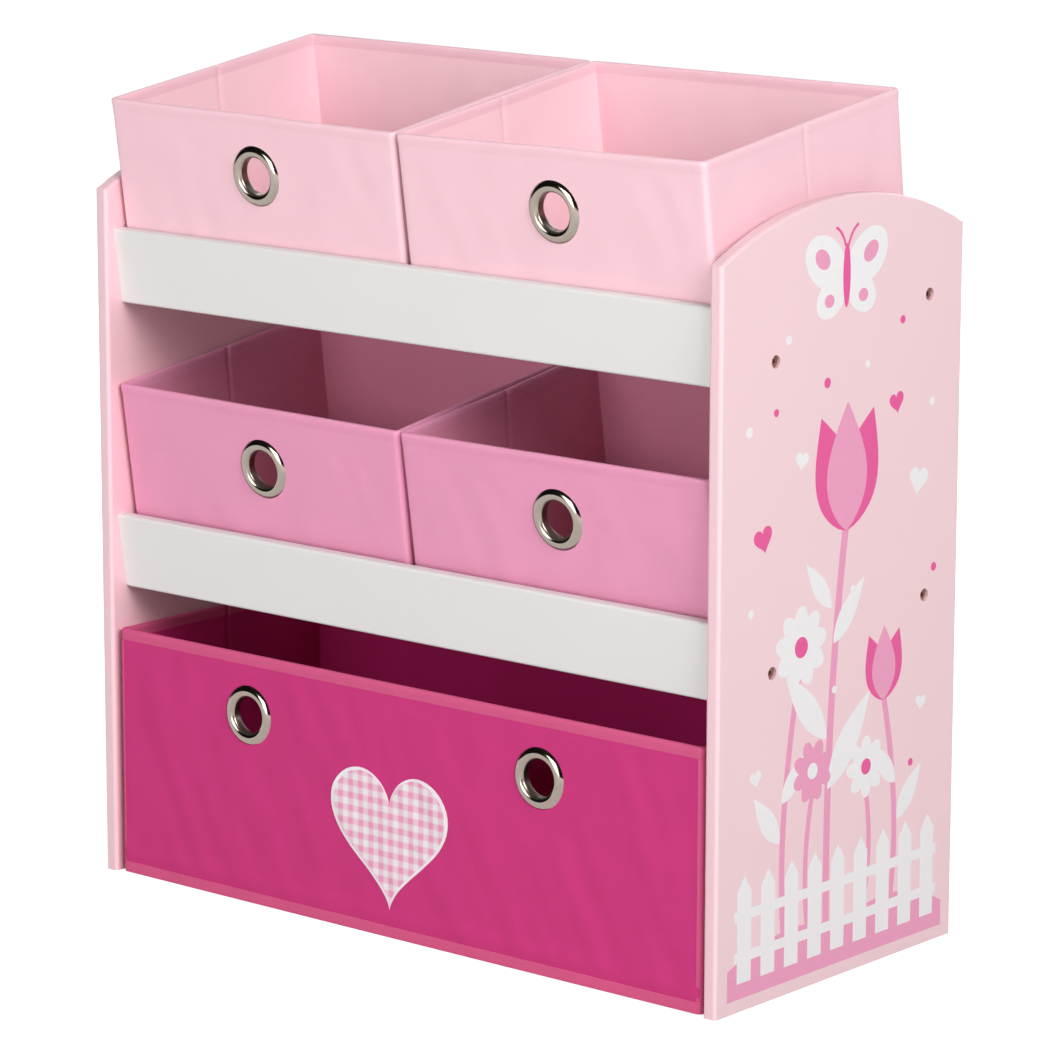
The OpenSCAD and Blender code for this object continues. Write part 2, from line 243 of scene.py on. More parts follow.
def satin_paint(name, colour, gloss_roughness, edge=None, inner=None):
    """Paint rolled on MDF and cured satin: even colour, soft sheen and a faint orange peel. With edge and
    inner colours, it paints shade on a panel's edges and light on its inner faces.
    """
    material, tree, place = new_material(name)
    # Roller marks drift over about 90 mm, and the peel has 2.5 mm cells
    drift = put(tree, "ShaderNodeTexNoise", {"Vector": place, "Scale": 11.0, "Detail": 3.0})
    coat = put(tree, "ShaderNodeMix", {
        "Factor": drift, "A": shade(colour, 0.975), "B": shade(colour, 1.02)}, data_type="RGBA")
    if edge is not None:
        # Negative on a panel's inner face, about zero on its edges and positive on its outer face
        side = put(tree, "ShaderNodeSeparateXYZ", {"Vector": place})
        facing = put(tree, "ShaderNodeSeparateXYZ", {"Vector": place.node.outputs["Normal"]})
        outward = put(tree, "ShaderNodeMath", {
            0: side.outputs["X"], 1: facing.outputs["X"]}, operation="MULTIPLY")
        # The edges get a darker colour, a painted shade, and the inner faces a lighter, pinker one, a painted
        # light
        for paint, start, end in ((edge, 0.25, 0.12), (inner, -0.12, -0.25)):
            share = put(tree, "ShaderNodeMapRange", {"Value": outward, "From Min": start, "From Max": end})
            coat = put(tree, "ShaderNodeMix", {
                "Factor": share, "A": coat, "B": shade(paint)}, data_type="RGBA")
    rough = put(tree, "ShaderNodeMapRange", {
        "Value": drift, "To Min": gloss_roughness - 0.05, "To Max": gloss_roughness + 0.07})
    peel = put(tree, "ShaderNodeTexNoise", {"Vector": place, "Scale": 400.0, "Detail": 2.0})
    bump = put(tree, "ShaderNodeBump", {"Height": peel, "Strength": 0.06, "Distance": 0.2 * MM})
    return close_material(material, {"Base Color": coat, "Roughness": rough, "Normal": bump, "IOR": 1.48})


def polyester_cloth(name, colour, mottle=0.04, weave_bump=0.22):
    """Plain-woven polyester with a matt face: fine weave, faint fuzz and soft mottling."""
    material, tree, place = new_material(name)
    weave_place = put(tree, "ShaderNodeUVMap", uv_map="cloth")
    # Real threads lie 0.4 mm apart, drawn here 1.1 mm apart so that they show
    # The bands of a wave texture of scale 1 lie 0.31416 apart
    thread_gap, band_gap = 1.1 * MM, 0.31416
    thread_scale = band_gap / thread_gap
    warp, weft = (
        put(tree, "ShaderNodeTexWave", {
            "Vector": weave_place, "Scale": thread_scale, "Distortion": 0.6, "Detail Scale": 3.0},
            wave_type="BANDS", bands_direction=across)
        for across in ("X", "Y"))
    weave = put(tree, "ShaderNodeMath", {
        0: warp.outputs["Fac"], 1: weft.outputs["Fac"]}, operation="MULTIPLY")
    fuzz = put(tree, "ShaderNodeTexNoise", {
        "Vector": place, "Scale": 700.0, "Detail": 3.0, "Roughness": 0.6})
    height = put(tree, "ShaderNodeMath", {0: fuzz, 1: 0.8, 2: weave}, operation="MULTIPLY_ADD")
    bump = put(tree, "ShaderNodeBump", {"Height": height, "Strength": weave_bump, "Distance": 0.15 * MM})
    # Mottling of about 35 mm, as in cloth glued over card
    mottling = put(tree, "ShaderNodeTexNoise", {
        "Vector": place, "Scale": 28.0, "Detail": 5.0, "Roughness": 0.55})
    threads = put(tree, "ShaderNodeMath", {0: weave, 1: 0.25, 2: mottling}, operation="MULTIPLY_ADD")
    tone = put(tree, "ShaderNodeMix", {
        "Factor": threads, "A": shade(colour, 1 - mottle), "B": shade(colour, 1 + mottle)}, data_type="RGBA")
    return close_material(material, {
        "Base Color": tone, "Roughness": 0.82, "Normal": bump, "IOR": 1.45,
        "Sheen Weight": 0.18, "Sheen Roughness": 0.45, "Sheen Tint": shade(colour, 1.15)})


def sewing_thread(name, colour):
    """Twisted polyester thread: a slight gloss on its ply."""
    return speckled(
        name, shade(colour, 0.86), shade(colour, 1.06), 1500.0, 1.0, {"Roughness": 0.55, "IOR": 1.5})


def printing_ink(name, colour):
    """Screen-printed ink on satin paint: opaque, with a dry edge-to-edge grain."""
    return speckled(
        name, shade(colour, 0.96), shade(colour, 1.03), 260.0, 4.0, {"Roughness": 0.5, "IOR": 1.48},
        relief=(0.05, 0.1))


def nickel_plate(name, *roughness):
    """Nickel plate on stamped steel: warm grey, with fine drawing marks."""
    return speckled(name, shade("948A80"), shade("A49A90"), 350.0, 4.0, {"Metallic": 1.0}, rough=roughness)


def zinc_steel():
    """Yellow-passivated zinc on a pressed steel screw: dull metal with blotches."""
    return speckled(
        "passivated_zinc_steel", shade("8A6A5C"), shade("B08C7C"), 220.0, 5.0, {"Metallic": 1.0},
        rough=(0.28, 0.5))


def bare_beech():
    """Turned beech dowel: fine short flecks along the grain, no finish."""
    # Flecks are about 2 mm long and 0.4 mm wide, along the dowel
    return speckled(
        "bare_beech", shade("C79F6E"), shade("E2C69A"), 1.0, 3.0, {"Roughness": 0.7, "IOR": 1.5},
        stretch=(900.0, 160.0, 900.0))


def grey_card():
    """Pressed grey board: recycled fibre with dark and light specks."""
    return speckled(
        "pressed_grey_board", shade("8F867B"), shade("B9B0A3"), 600.0, 4.0, {"Roughness": 0.9, "IOR": 1.5})


def checked_cotton(base, check):
    """Gingham: dyed threads cross white ones, so two stripes overlap into the full colour."""
    material, tree, place = new_material("checked_cotton")
    axes = put(tree, "ShaderNodeSeparateXYZ", {"Vector": place})
    check_size = 5.2 * MM
    stripes = []
    for axis in ("X", "Z"):
        wave = put(tree, "ShaderNodeMath", {0: axes.outputs[axis], 1: check_size}, operation="PINGPONG")
        stripes.append(put(tree, "ShaderNodeMapRange", {
            "Value": wave, "From Min": 0.34 * check_size, "From Max": 0.66 * check_size}))
    both = put(tree, "ShaderNodeMath", {0: stripes[0], 1: stripes[1]}, operation="ADD")
    share = put(tree, "ShaderNodeMath", {0: both, 1: 0.5}, operation="MULTIPLY")
    fuzz = put(tree, "ShaderNodeTexNoise", {"Vector": place, "Scale": 900.0, "Detail": 3.0})
    bump = put(tree, "ShaderNodeBump", {"Height": fuzz, "Strength": 0.2, "Distance": 0.15 * MM})
    tone = put(tree, "ShaderNodeMix", {
        "Factor": share, "A": shade(base, 0.97), "B": shade(check)}, data_type="RGBA")
    return close_material(material, {"Base Color": tone, "Roughness": 0.85, "Normal": bump, "IOR": 1.45})


@cache
def finish_named(name):
    """The material of that name, made once from the scene's colours."""
    paints = bpy.context.scene.shelf_colours
    makers = {
        "satin_pink_paint": lambda: satin_paint(
            "satin_pink_paint", paints.panel_paint, 0.42, paints.panel_edge_painted_shade, paints.panel_inner_painted_light),
        "satin_white_paint": lambda: satin_paint("satin_white_paint", paints.rail_paint, 0.36),
        "top_cloth": lambda: polyester_cloth("pale_pink_polyester", paints.top_cloth),
        "middle_cloth": lambda: polyester_cloth("mid_pink_polyester", paints.middle_cloth, 0.05),
        "wide_cloth": lambda: polyester_cloth("magenta_polyester", paints.wide_cloth, 0.07, 0.3),
        # The linings carry painted light in the top boxes and painted shade in the middle and wide boxes
        "top_lining": lambda: polyester_cloth("pale_pink_lining_painted_light", paints.top_lining),
        "middle_lining": lambda: polyester_cloth("mid_pink_lining_painted_shade", paints.middle_lining, 0.05),
        "wide_lining": lambda: polyester_cloth("magenta_lining_painted_shade", paints.wide_lining, 0.07, 0.3),
        "tape": lambda: polyester_cloth("rose_binding_tape", paints.tape, 0.05, 0.3),
        "top_thread": lambda: sewing_thread("pale_pink_thread", paints.top_cloth),
        "middle_thread": lambda: sewing_thread("mid_pink_thread", paints.middle_cloth),
        "wide_thread": lambda: sewing_thread("rose_thread", paints.tape),
        "white_ink": lambda: printing_ink("white_ink", paints.print_white),
        "hot_ink": lambda: printing_ink("hot_pink_ink", paints.print_hot),
        "mid_ink": lambda: printing_ink("mid_pink_ink", paints.print_mid),
        "gingham": lambda: checked_cotton(paints.print_white, paints.print_mid),
        "nickel": lambda: nickel_plate("polished_nickel", 0.07, 0.15),
        "barrel_nickel": lambda: nickel_plate("drawn_nickel", 0.28, 0.36),
        "screw": zinc_steel,
        "beech": bare_beech,
        "card": grey_card,
    }
    return makers[name]()


# Meshes and pieces

def new_mesh(name, points, edges, faces):
    """A mesh from points in metres."""
    mesh = bpy.data.meshes.new(name)
    mesh.from_pydata([tuple(p) for p in points], edges, faces)
    return mesh


def add_object(name, data):
    """Adds an object at the origin to the scene."""
    added = bpy.data.objects.new(name, data)
    bpy.context.scene.collection.objects.link(added)
    return added


def new_piece(name, points, faces, materials, uvs=None, face_materials=None, sharp_angle=35):
    """A smooth piece with its materials, and sharp where it bends by more than an angle in degrees."""
    mesh = new_mesh(name, points, [], faces)
    for material in materials:
        mesh.materials.append(finish_named(material))
    if face_materials is not None:
        mesh.polygons.foreach_set("material_index", face_materials)
    if uvs is not None:
        layer = mesh.uv_layers.new(name="cloth")
        layer.data.foreach_set("uv", np.asarray(uvs, np.float32).ravel())
    mesh.polygons.foreach_set("use_smooth", [True] * len(mesh.polygons))
    mesh.set_sharp_from_angle(angle=math.radians(sharp_angle))
    mesh.update()
    mesh.validate()
    return add_object(name, mesh)


def fit(piece, body, slot, node=None):
    """Lets a piece ride on a body and stand in for a CAD node, which it hides."""
    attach(piece, body)
    if node:
        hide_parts(node)


# Fabric boxes

# Where the cloth rim really stands, at the front left, front right, back right and back left corner (mm)
RIM_MOVES = {
    "top_left_box": ((0, 0, 0), (1.2, 0, -3.5), (1.2, 1, -1), (0, 1, 0)),
    "top_right_box": ((-1.2, 0, -3.5), (0.5, 0, 0), (0.5, 1, 0), (-1.2, 1, -1)),
    "middle_left_box": ((0, 0, 2), (1.2, 0, -1), (1.2, 0, 0), (0, 0, 0)),
    "middle_right_box": ((-1.2, 0, -1), (0, 0, 0), (0, 0, 0), (-1.2, 0, 0)),
    "wide_box": ((0, 0, 0), (0, 0, 0), (0, 0, 0), (0, 0, 0)),
}
# How far the left and right wall lean sideways above the rail (mm)
# At the gap where two boxes pass each other, both lean by less than the gap
LEANS = {
    "top_left_box": (-3.6, -1.6),
    "top_right_box": (-1.6, -3.6),
    "middle_left_box": (-3.0, -2.7),
    "middle_right_box": (-2.7, -1.5),
    "wide_box": (0.0, 0.0),
}
# How far a side wall is drawn in at its fold, left and right (mm)
FOLD_PULLS = {
    "top_left_box": (1.5, 2.0),
    "top_right_box": (2.0, 0.8),
    "middle_left_box": (3.5, 2.5),
    "middle_right_box": (3.5, 2.5),
    "wide_box": (3.0, 3.0),
}
# Outward bow of the front and back wall (mm)
BOWS = {
    "top_left_box": (0.0, 1.0),
    "top_right_box": (0.0, 1.0),
    "middle_left_box": (0.8, 1.0),
    "middle_right_box": (0.8, 1.0),
    "wide_box": (1.4, 2.0),
}


class BoxPlan:
    """Place and sizes of one fabric box, read from its CAD nodes, and how its cloth hangs."""

    def __init__(self, name):
        self.name = name
        self.tier = name.split("_")[0]
        axis = next(j["axis"] for j in frame["joints"] if j["child"] == name)
        tilt = 0.0 if name == WIDE else math.atan2(-axis[1], axis[2])
        turn = Matrix.Rotation(tilt, 4, "X")
        self.turn_back = np.array(turn.inverted().to_3x3())
        hem_low, hem_high = self.level_box("rim_hem")
        shell_low, _ = self.level_box("shell")
        corner = np.array([hem_low[0], hem_low[1], shell_low[2]])
        self.size = hem_high - corner
        self.matrix = np.array(turn @ Matrix.Translation(Vector(corner)))
        ring_low, ring_high = self.level_box("eyelet_front")
        radius = (ring_high[2] - ring_low[2]) / 2
        places = {round(ring_low[0] + radius - corner[0], 4), round(ring_high[0] - radius - corner[0], 4)}
        self.eyelets = [(x, (ring_high[2] + ring_low[2]) / 2 - corner[2]) for x in sorted(places)]
        self.cloth = f"{self.tier}_cloth"
        self.hem_cloth = "tape" if name == WIDE else self.cloth
        self.hem_slot = "wide_binding" if name == WIDE else f"{self.tier}_fabric"
        # Sets the wrinkles of each box apart from those of the others
        self.seed = 7.3 * BOX_NAMES.index(name)

    def level_box(self, part):
        """Lowest and highest corner of a CAD node once the tray's tilt is taken out."""
        node = frame["nodes"][f"{self.name}_{part}"]
        flat = np.zeros(len(node.data.vertices) * 3)
        node.data.vertices.foreach_get("co", flat)
        level = flat.reshape(-1, 3) @ self.turn_back.T
        return level.min(0), level.max(0)

    def place(self, points):
        """Puts points of the box where the box stands in the shelf."""
        return points @ self.matrix[:3, :3].T + self.matrix[:3, 3]

    def wrinkles(self, along, across, long_cell, wide_cell):
        """Soft ridges over a wall, drawn out along its first direction, on a slower swell."""
        swell, longer, wider, apart = 0.8, 1.4, 2.6, 31
        return np.array([
            noise.noise(Vector((p / long_cell, q / wide_cell, self.seed)))
            + swell * noise.noise(
                Vector((p / (longer * long_cell), q / (wider * wide_cell), self.seed + apart)))
            for p, q in zip(along, across)
        ])

    def soften(self, points):
        """Moves points of the stiff box to where the cloth really hangs."""
        cloth = bpy.context.scene.shelf_cloth
        points = np.asarray(points, float)
        width, depth, height = self.size
        x, y, z = points.T
        u, v, w = (np.clip(values / side, 0, 1) for values, side in zip(points.T, self.size))
        # A point's share in each wall, from one within the wall's layers to zero at 11 mm
        layers, reach = WALL_T + 2 * HEM_T, 11 * MM
        front, back, left, right = (1 - smooth(layers, reach, gap) for gap in (y, depth - y, x, width - x))

        # The stiff foot holds the walls, so the rim's moves fade out downwards
        rise = w ** 1.6
        corners = np.array(RIM_MOVES[self.name]) * MM
        shares = ((1 - u) * (1 - v), u * (1 - v), u * v, (1 - u) * v)
        move = sum(np.outer(share * rise, corner) for share, corner in zip(shares, corners))
        left_lean, right_lean = (lean * MM for lean in LEANS[self.name])
        rail_share = 0.3
        move[:, 0] += ((1 - u) * left_lean + u * right_lean) * smooth(0, rail_share, w)
        front_bow, back_bow = (bow * MM for bow in BOWS[self.name])
        # The bow is deepest a little below half the height, and part of it is left at the foot and the rim
        arch = np.sin(math.pi * u) * np.sin(math.pi * (0.15 + 0.75 * w))
        move[:, 1] += (back * back_bow - front * front_bow) * arch

        # A side wall is drawn in along a tent over its fold line, which is pressed in from both sides
        left_pull, right_pull = (pull * MM for pull in FOLD_PULLS[self.name])
        tent = (1 - np.abs(2 * v - 1)) ** 1.3 * rise
        move[:, 0] += (left * left_pull - right * right_pull) * tent
        crease_width = 1.4 * MM
        line = np.exp(-((y - depth / 2) / crease_width) ** 2) * cloth.crease_depth
        middle = HEM_T + WALL_T / 2
        # The lining sinks deeper, into the gap between the boards
        lining_share = 2.4
        from_left, from_right = (np.clip(1 - gap / middle, -1, 1) for gap in (x, width - x))
        move[:, 0] += line * left * np.where(from_left < 0, lining_share, 1) * from_left
        move[:, 0] -= line * right * np.where(from_right < 0, lining_share, 1) * from_right

        # Wrinkles fade out at the foot, the rim, the corners and the fold
        foot_fade, rim_fade, front_fade, side_fade, fold_fade = (fade * MM for fade in (22, 16, 30, 24, 14))
        near_edge = smooth(0, foot_fade, z) * smooth(0, rim_fade, height - HEM_H - z)
        across_x = smooth(CORNER_R, front_fade, x) * smooth(CORNER_R, front_fade, width - x)
        across_y = smooth(CORNER_R, side_fade, y) * smooth(CORNER_R, side_fade, depth - y)
        off_fold = smooth(0, fold_fade, np.abs(y - depth / 2))
        drag_angle = math.radians(-66)
        along = x * math.cos(drag_angle) + z * math.sin(drag_angle)
        aside = -x * math.sin(drag_angle) + z * math.cos(drag_angle)
        drag = self.wrinkles(along, aside, 80 * MM, 17 * MM) * near_edge * across_x
        side = self.wrinkles(z, y, 60 * MM, 22 * MM) * near_edge * across_y * off_fold
        depth_of = cloth.wrinkle_depth * (1.0 if self.name == WIDE else 0.5)
        move[:, 1] += (back - front) * drag * depth_of
        move[:, 0] += (right - left) * side * depth_of

        # The cloth is clamped flat under each eyelet, and the drag folds start at its edge
        flat_edge, free_edge = EYELET_R + 2 * MM, EYELET_R + 42 * MM
        for cx, cz in self.eyelets:
            far = np.hypot(x - cx, z - cz)
            clamp = 1 - (1 - smooth(flat_edge, free_edge, far)) * front
            move *= clamp[:, None]
        if self.name == WIDE:
            # The front cloth bulges over the stiff edge of the bottom tape
            bulge, bulge_z, bulge_reach, bulge_start = (size * MM for size in (1.0, 17, 7, 14))
            over_tape = np.exp(-((z - bulge_z) / bulge_reach) ** 2) * smooth(BINDING_H, bulge_start, z)
            move[:, 1] -= front * over_tape * bulge
        return points + move


@cache
def plan_of(name):
    """The plan of a box, read once."""
    return BoxPlan(name)


def spaced(marks, step):
    """Even steps between marks, with every mark kept."""
    values = []
    for a, b in zip(marks, marks[1:]):
        count = max(1, round((b - a) / step))
        values += [a + (b - a) * i / count for i in range(count)]
    return values + [marks[-1]]


def eyelet_marks(plan):
    """Both edges of the square of mesh round each eyelet."""
    return [mark for cx, _ in plan.eyelets for mark in (cx - SQUARE, cx + SQUARE)]


def outline_stations(plan, tape_reach=()):
    """Points round a box on its fabric's outer face, from its back left corner: x, y, outward normal, run."""
    width, depth, _ = plan.size
    step = bpy.context.scene.shelf_cloth.grid_step
    inner = HEM_T + CORNER_R
    far_x, far_y = width - inner, depth - inner
    fold = [depth / 2 + gap * MM for gap in (-6, -3, -1.2, 0, 1.2, 3, 6)]
    side_steps = spaced([inner, *fold, far_y], step)
    front_steps = spaced(sorted([inner, *eyelet_marks(plan), far_x]), step)
    back_steps = spaced([inner, far_x], step)
    # A tape narrower than the rounded corner ends at its own angle on the corner
    tape_turns = [math.degrees(math.asin((inner - reach) / CORNER_R)) for reach in tape_reach]
    turns = sorted({*range(15, 90, 15), *tape_turns, *(90 - turn for turn in tape_turns)})
    # Each wall, then the middle of the corner after it and the angle at which that starts
    walls = (
        ([(HEM_T, y, -1, 0) for y in reversed(side_steps)], inner, inner, 180),
        ([(x, HEM_T, 0, -1) for x in front_steps], far_x, inner, 270),
        ([(width - HEM_T, y, 1, 0) for y in side_steps], far_x, far_y, 0),
        ([(x, depth - HEM_T, 0, 1) for x in reversed(back_steps)], inner, far_y, 90),
    )
    stations = []
    for wall, cx, cy, start in walls:
        stations += wall
        for turn in turns:
            a = math.radians(start + turn)
            n = (math.cos(a), math.sin(a))
            stations.append((cx + CORNER_R * n[0], cy + CORNER_R * n[1], *n))
    stations = np.array(stations)
    steps = np.hypot(*(np.roll(stations[:, :2], -1, axis=0) - stations[:, :2]).T)
    run = np.concatenate([[0], np.cumsum(steps)[:-1]])
    return np.column_stack([stations, run]), steps.sum()


def offset_points(stations, inset, z):
    """Points at a distance inside the fabric's outer face."""
    return np.column_stack([
        stations[:, 0] - inset * stations[:, 2],
        stations[:, 1] - inset * stations[:, 3],
        np.broadcast_to(z, len(stations)),
    ])


class Plate:
    """Quads over a sheet of (run, height) points, open or closed round a box, with round holes."""

    def __init__(self, runs, heights, holes, closed):
        cols, rows = len(runs), len(heights)
        self.points = [(u, z) for z in heights for u in runs]
        skipped = set()
        frames = []
        for cu, cz in holes:
            c = [i for i, u in enumerate(runs) if abs(u - cu) <= SQUARE + 1e-7]
            r = [j for j, z in enumerate(heights) if abs(z - cz) <= SQUARE + 1e-7]
            skipped |= {(j, i) for j in r[:-1] for i in c[:-1]}
            edge = [(r[0], i) for i in c[:-1]] + [(j, c[-1]) for j in r[:-1]]
            edge += [(r[-1], i) for i in reversed(c[1:])] + [(j, c[0]) for j in reversed(r[1:])]
            frames.append((cu, cz, [j * cols + i for j, i in edge]))
        self.quads = [
            (j * cols + i, j * cols + (i + 1) % cols, (j + 1) * cols + (i + 1) % cols, (j + 1) * cols + i)
            for j in range(rows - 1) for i in range(cols if closed else cols - 1) if (j, i) not in skipped
        ]
        self.foot = list(range(cols))
        self.rim = [(rows - 1) * cols + i for i in range(cols)]
        self.edge = self.foot + [j * cols + cols - 1 for j in range(1, rows)]
        self.edge += self.rim[-2::-1] + [j * cols for j in range(rows - 2, 0, -1)]
        self.holes = [self.add_rings(*f) for f in frames]

    def add_rings(self, cu, cz, edge, rings=5):
        """Rings of quads from a square gap in the grid to its round hole. Gives the hole's loop."""
        previous = edge
        start = np.array([self.points[i] for i in edge])
        away = start - (cu, cz)
        end = (cu, cz) + BORE_R * away / np.hypot(*away.T)[:, None]
        count = len(edge)
        for k in range(1, rings + 1):
            first = len(self.points)
            self.points += [tuple(p) for p in start + (end - start) * k / rings]
            now = list(range(first, first + count))
            self.quads += [
                (previous[i], previous[(i + 1) % count], now[(i + 1) % count], now[i]) for i in range(count)
            ]
            previous = now
        return previous


def shifted(faces, first):
    """Faces whose points start later in a piece's list."""
    return [tuple(i + first for i in face) for face in faces]


def turned_over(faces):
    """Faces that point the other way."""
    return [tuple(reversed(face)) for face in faces]


def bridge(loop, count):
    """Faces between a loop on the outer layer and the same loop on the inner layer."""
    n = len(loop)
    return [(loop[i], loop[(i + 1) % n], loop[(i + 1) % n] + count, loop[i] + count) for i in range(n)]


def used_only(points, faces):
    """Drops points that no face uses."""
    used = sorted({i for f in faces for i in f})
    renumber = {old: new for new, old in enumerate(used)}
    return points[used], [tuple(renumber[i] for i in f) for f in faces]


def face_uvs(faces, runs, heights, length):
    """UV of every face corner, in metres along and up the wall."""
    uvs = []
    for face in faces:
        u = [runs[i] for i in face]
        if max(u) - min(u) > length / 2:
            u = [a + length if a < length / 2 else a for a in u]
        uvs += [(a, heights[i]) for a, i in zip(u, face)]
    return uvs


def wall_sheet(plan, name, cloth, outer, inner, low, high, with_bottom):
    """A layer of a box's walls between two insets, closed at its rim, foot and holes."""
    stations, length = outline_stations(plan)
    cz = plan.eyelets[0][1]
    # Close rows carry the round fold at the foot
    marks = [low, low + 0.4 * MM, low + 1.2 * MM, low + FOOT_R, cz - SQUARE, cz + SQUARE, high - HEM_H, high]
    if plan.name == WIDE:
        marks += [BINDING_TOP, BINDING_TOP + 4 * MM]
    heights = spaced(sorted(marks), bpy.context.scene.shelf_cloth.grid_step)
    front = stations[stations[:, 3] == -1]
    front_run = front[0, 4] - front[0, 0]
    holes = [(front_run + cx, cz) for cx, _ in plan.eyelets]
    plate = Plate(list(stations[:, 4]), heights, holes, True)
    run, z = np.array(plate.points).T
    # A station's place and outward normal at each run
    ends = np.append(stations[:, 4], length)
    sites = np.vstack([stations, stations[:1]])
    at_run = np.column_stack([np.interp(run, ends, sites[:, k]) for k in range(4)])
    foot_r = FOOT_R if with_bottom else 0
    drop = np.clip(low + foot_r - z, 0, foot_r)
    turn_in = foot_r - np.sqrt(foot_r ** 2 - drop ** 2)
    inner_z = np.maximum(z, low + (FABRIC_T if with_bottom else 0))
    points = np.vstack([
        offset_points(at_run, outer + turn_in, z),
        offset_points(at_run, inner + np.minimum(turn_in, 0.6 * foot_r), inner_z),
    ])
    count = len(z)
    faces = plate.quads + shifted(turned_over(plate.quads), count) + bridge(plate.rim, count)
    for loop in plate.holes:
        faces += bridge(loop, count)
    if with_bottom:
        faces += turned_over([plate.foot]) + shifted([plate.foot], count)
    else:
        faces += turned_over(bridge(plate.foot, count))
    uvs = face_uvs(faces, np.tile(run, 2), np.tile(z, 2), length)
    kept, faces = used_only(points, faces)
    return new_piece(name, plan.place(plan.soften(kept)), faces, [cloth], uvs)


def swept_band(plan, name, profile, cloth, spans=None):
    """A closed profile of (inset, height) swept round the box, or along spans of its outline."""
    stations, length = outline_stations(plan, tape_reach=(PIPING_W,))
    wraps = [[*range(len(stations)), 0]] if spans is None else spans(stations, plan)
    points, runs, heights, faces = [], [], [], []
    size = len(profile)
    for wrap in wraps:
        closed = wrap[0] == wrap[-1]
        lines = wrap[:-1] if closed else wrap
        first = len(runs)
        for i in lines:
            x, y, nx, ny, run = stations[i]
            for inset, z in profile:
                points.append((x - inset * nx, y - inset * ny, z))
                runs.append(run)
                heights.append(z + inset)
        n = len(lines)
        for i in range(n if closed else n - 1):
            a, b = first + i * size, first + ((i + 1) % n) * size
            faces += [(a + k, b + k, b + (k + 1) % size, a + (k + 1) % size) for k in range(size)]
        if not closed:
            end = range(size)
            faces += shifted([end], first) + shifted(turned_over([end]), first + (n - 1) * size)
    uvs = face_uvs(faces, runs, heights, length)
    return new_piece(name, plan.place(plan.soften(np.array(points))), faces, [cloth], uvs)


def hem_profile(height):
    """Folded strip over the rim, thin where it is sewn down at its foot: outer leg, fold and inner leg."""
    foot = height - HEM_H
    inner = WALL_T + HEM_T
    # Share of the leg's height and thickness there in mm
    swell = [(0.0, 0.1), (0.12, 0.2), (0.22, 0.22), (0.34, 0.4), (0.55, 0.56), (0.75, 0.6)]
    outer_leg = [(-t * MM, foot + HEM_H * share) for share, t in swell]
    inner_leg = [(WALL_T + t * MM, foot + HEM_H * share) for share, t in reversed(swell)]
    # Inset, and depth under the rim in mm
    crest = [
        (-HEM_T + 0.3 * MM, 1.1), (0.2 * MM, 0.4), (1.1 * MM, 0.05), (1.9 * MM, 0), (2.7 * MM, 0.05),
        (inner - 0.8 * MM, 0.4), (inner - 0.3 * MM, 1.1),
    ]
    fold = [(inset, height - under * MM) for inset, under in crest]
    overlap = 0.1 * MM
    top = height - 1.0 * MM
    inside = [(WALL_T - overlap, foot), (WALL_T - overlap, top), (overlap, top)]
    return [(overlap, foot), *outer_leg, *fold, *inner_leg, *inside]


def tape_profile(low, high):
    """Flat tape on the outside of the cloth, with soft long edges."""
    soft = 0.35 * MM
    back, edge = 0.05 * MM, -HEM_T + 0.2 * MM
    rows = [low + soft + (high - low - 2 * soft) * t for t in (0, 0.25, 0.5, 0.75, 1)]
    return [(back, low), (edge, low), *((-HEM_T, z) for z in rows), (edge, high), (back, high)]


def corner_spans(stations, plan):
    """The runs of stations within a tape's width of each upright corner."""
    width, depth, _ = plan.size
    near_x = np.minimum(stations[:, 0], width - stations[:, 0]) <= PIPING_W + 1e-6
    near_y = np.minimum(stations[:, 1], depth - stations[:, 1]) <= PIPING_W + 1e-6
    near = near_x & near_y
    cols = len(stations)
    start = next(i for i in range(cols) if not near[i])
    spans, span = [], []
    for k in range(cols + 1):
        i = (start + k) % cols
        if near[i]:
            span.append(i)
        elif span:
            spans.append(span)
            span = []
    return spans


def board_slabs(plan):
    """Points and faces of the card boards: front with its bores, back, and two in each side wall."""
    width, depth, height = plan.size
    slack = 0.3 * MM
    layers = (HEM_T + FABRIC_T + slack, HEM_T + FABRIC_T + CARD_T - slack)
    inner = HEM_T + CORNER_R
    half = depth / 2
    step = 10 * MM
    cz = plan.eyelets[0][1]
    heights = spaced([FABRIC_T + slack, cz - SQUARE, cz + SQUARE, height - HEM_T - slack], step)
    # Marks along each board, its holes, and its place from run and depth
    boards = [
        ([inner, *eyelet_marks(plan), width - inner], plan.eyelets, lambda u, d: (u, d)),
        ([inner, width - inner], [], lambda u, d: (width - u, depth - d)),
    ]
    for marks in ((inner, half - FOLD_GAP / 2), (half + FOLD_GAP / 2, depth - inner)):
        boards.append((marks, [], lambda u, d: (d, depth - u)))
        boards.append((marks, [], lambda u, d: (width - d, u)))
    points, faces = [], []
    for marks, holes, site in boards:
        plate = Plate(spaced(marks, step), heights, holes, False)
        first, count = len(points), len(plate.points)
        for d in layers:
            points += [(*site(u, d), z) for u, z in plate.points]
        layer = plate.quads + shifted(turned_over(plate.quads), count)
        layer += turned_over(bridge(plate.edge, count))
        for loop in plate.holes:
            layer += bridge(loop, count)
        faces += shifted(layer, first)
    return used_only(np.array(points), faces)


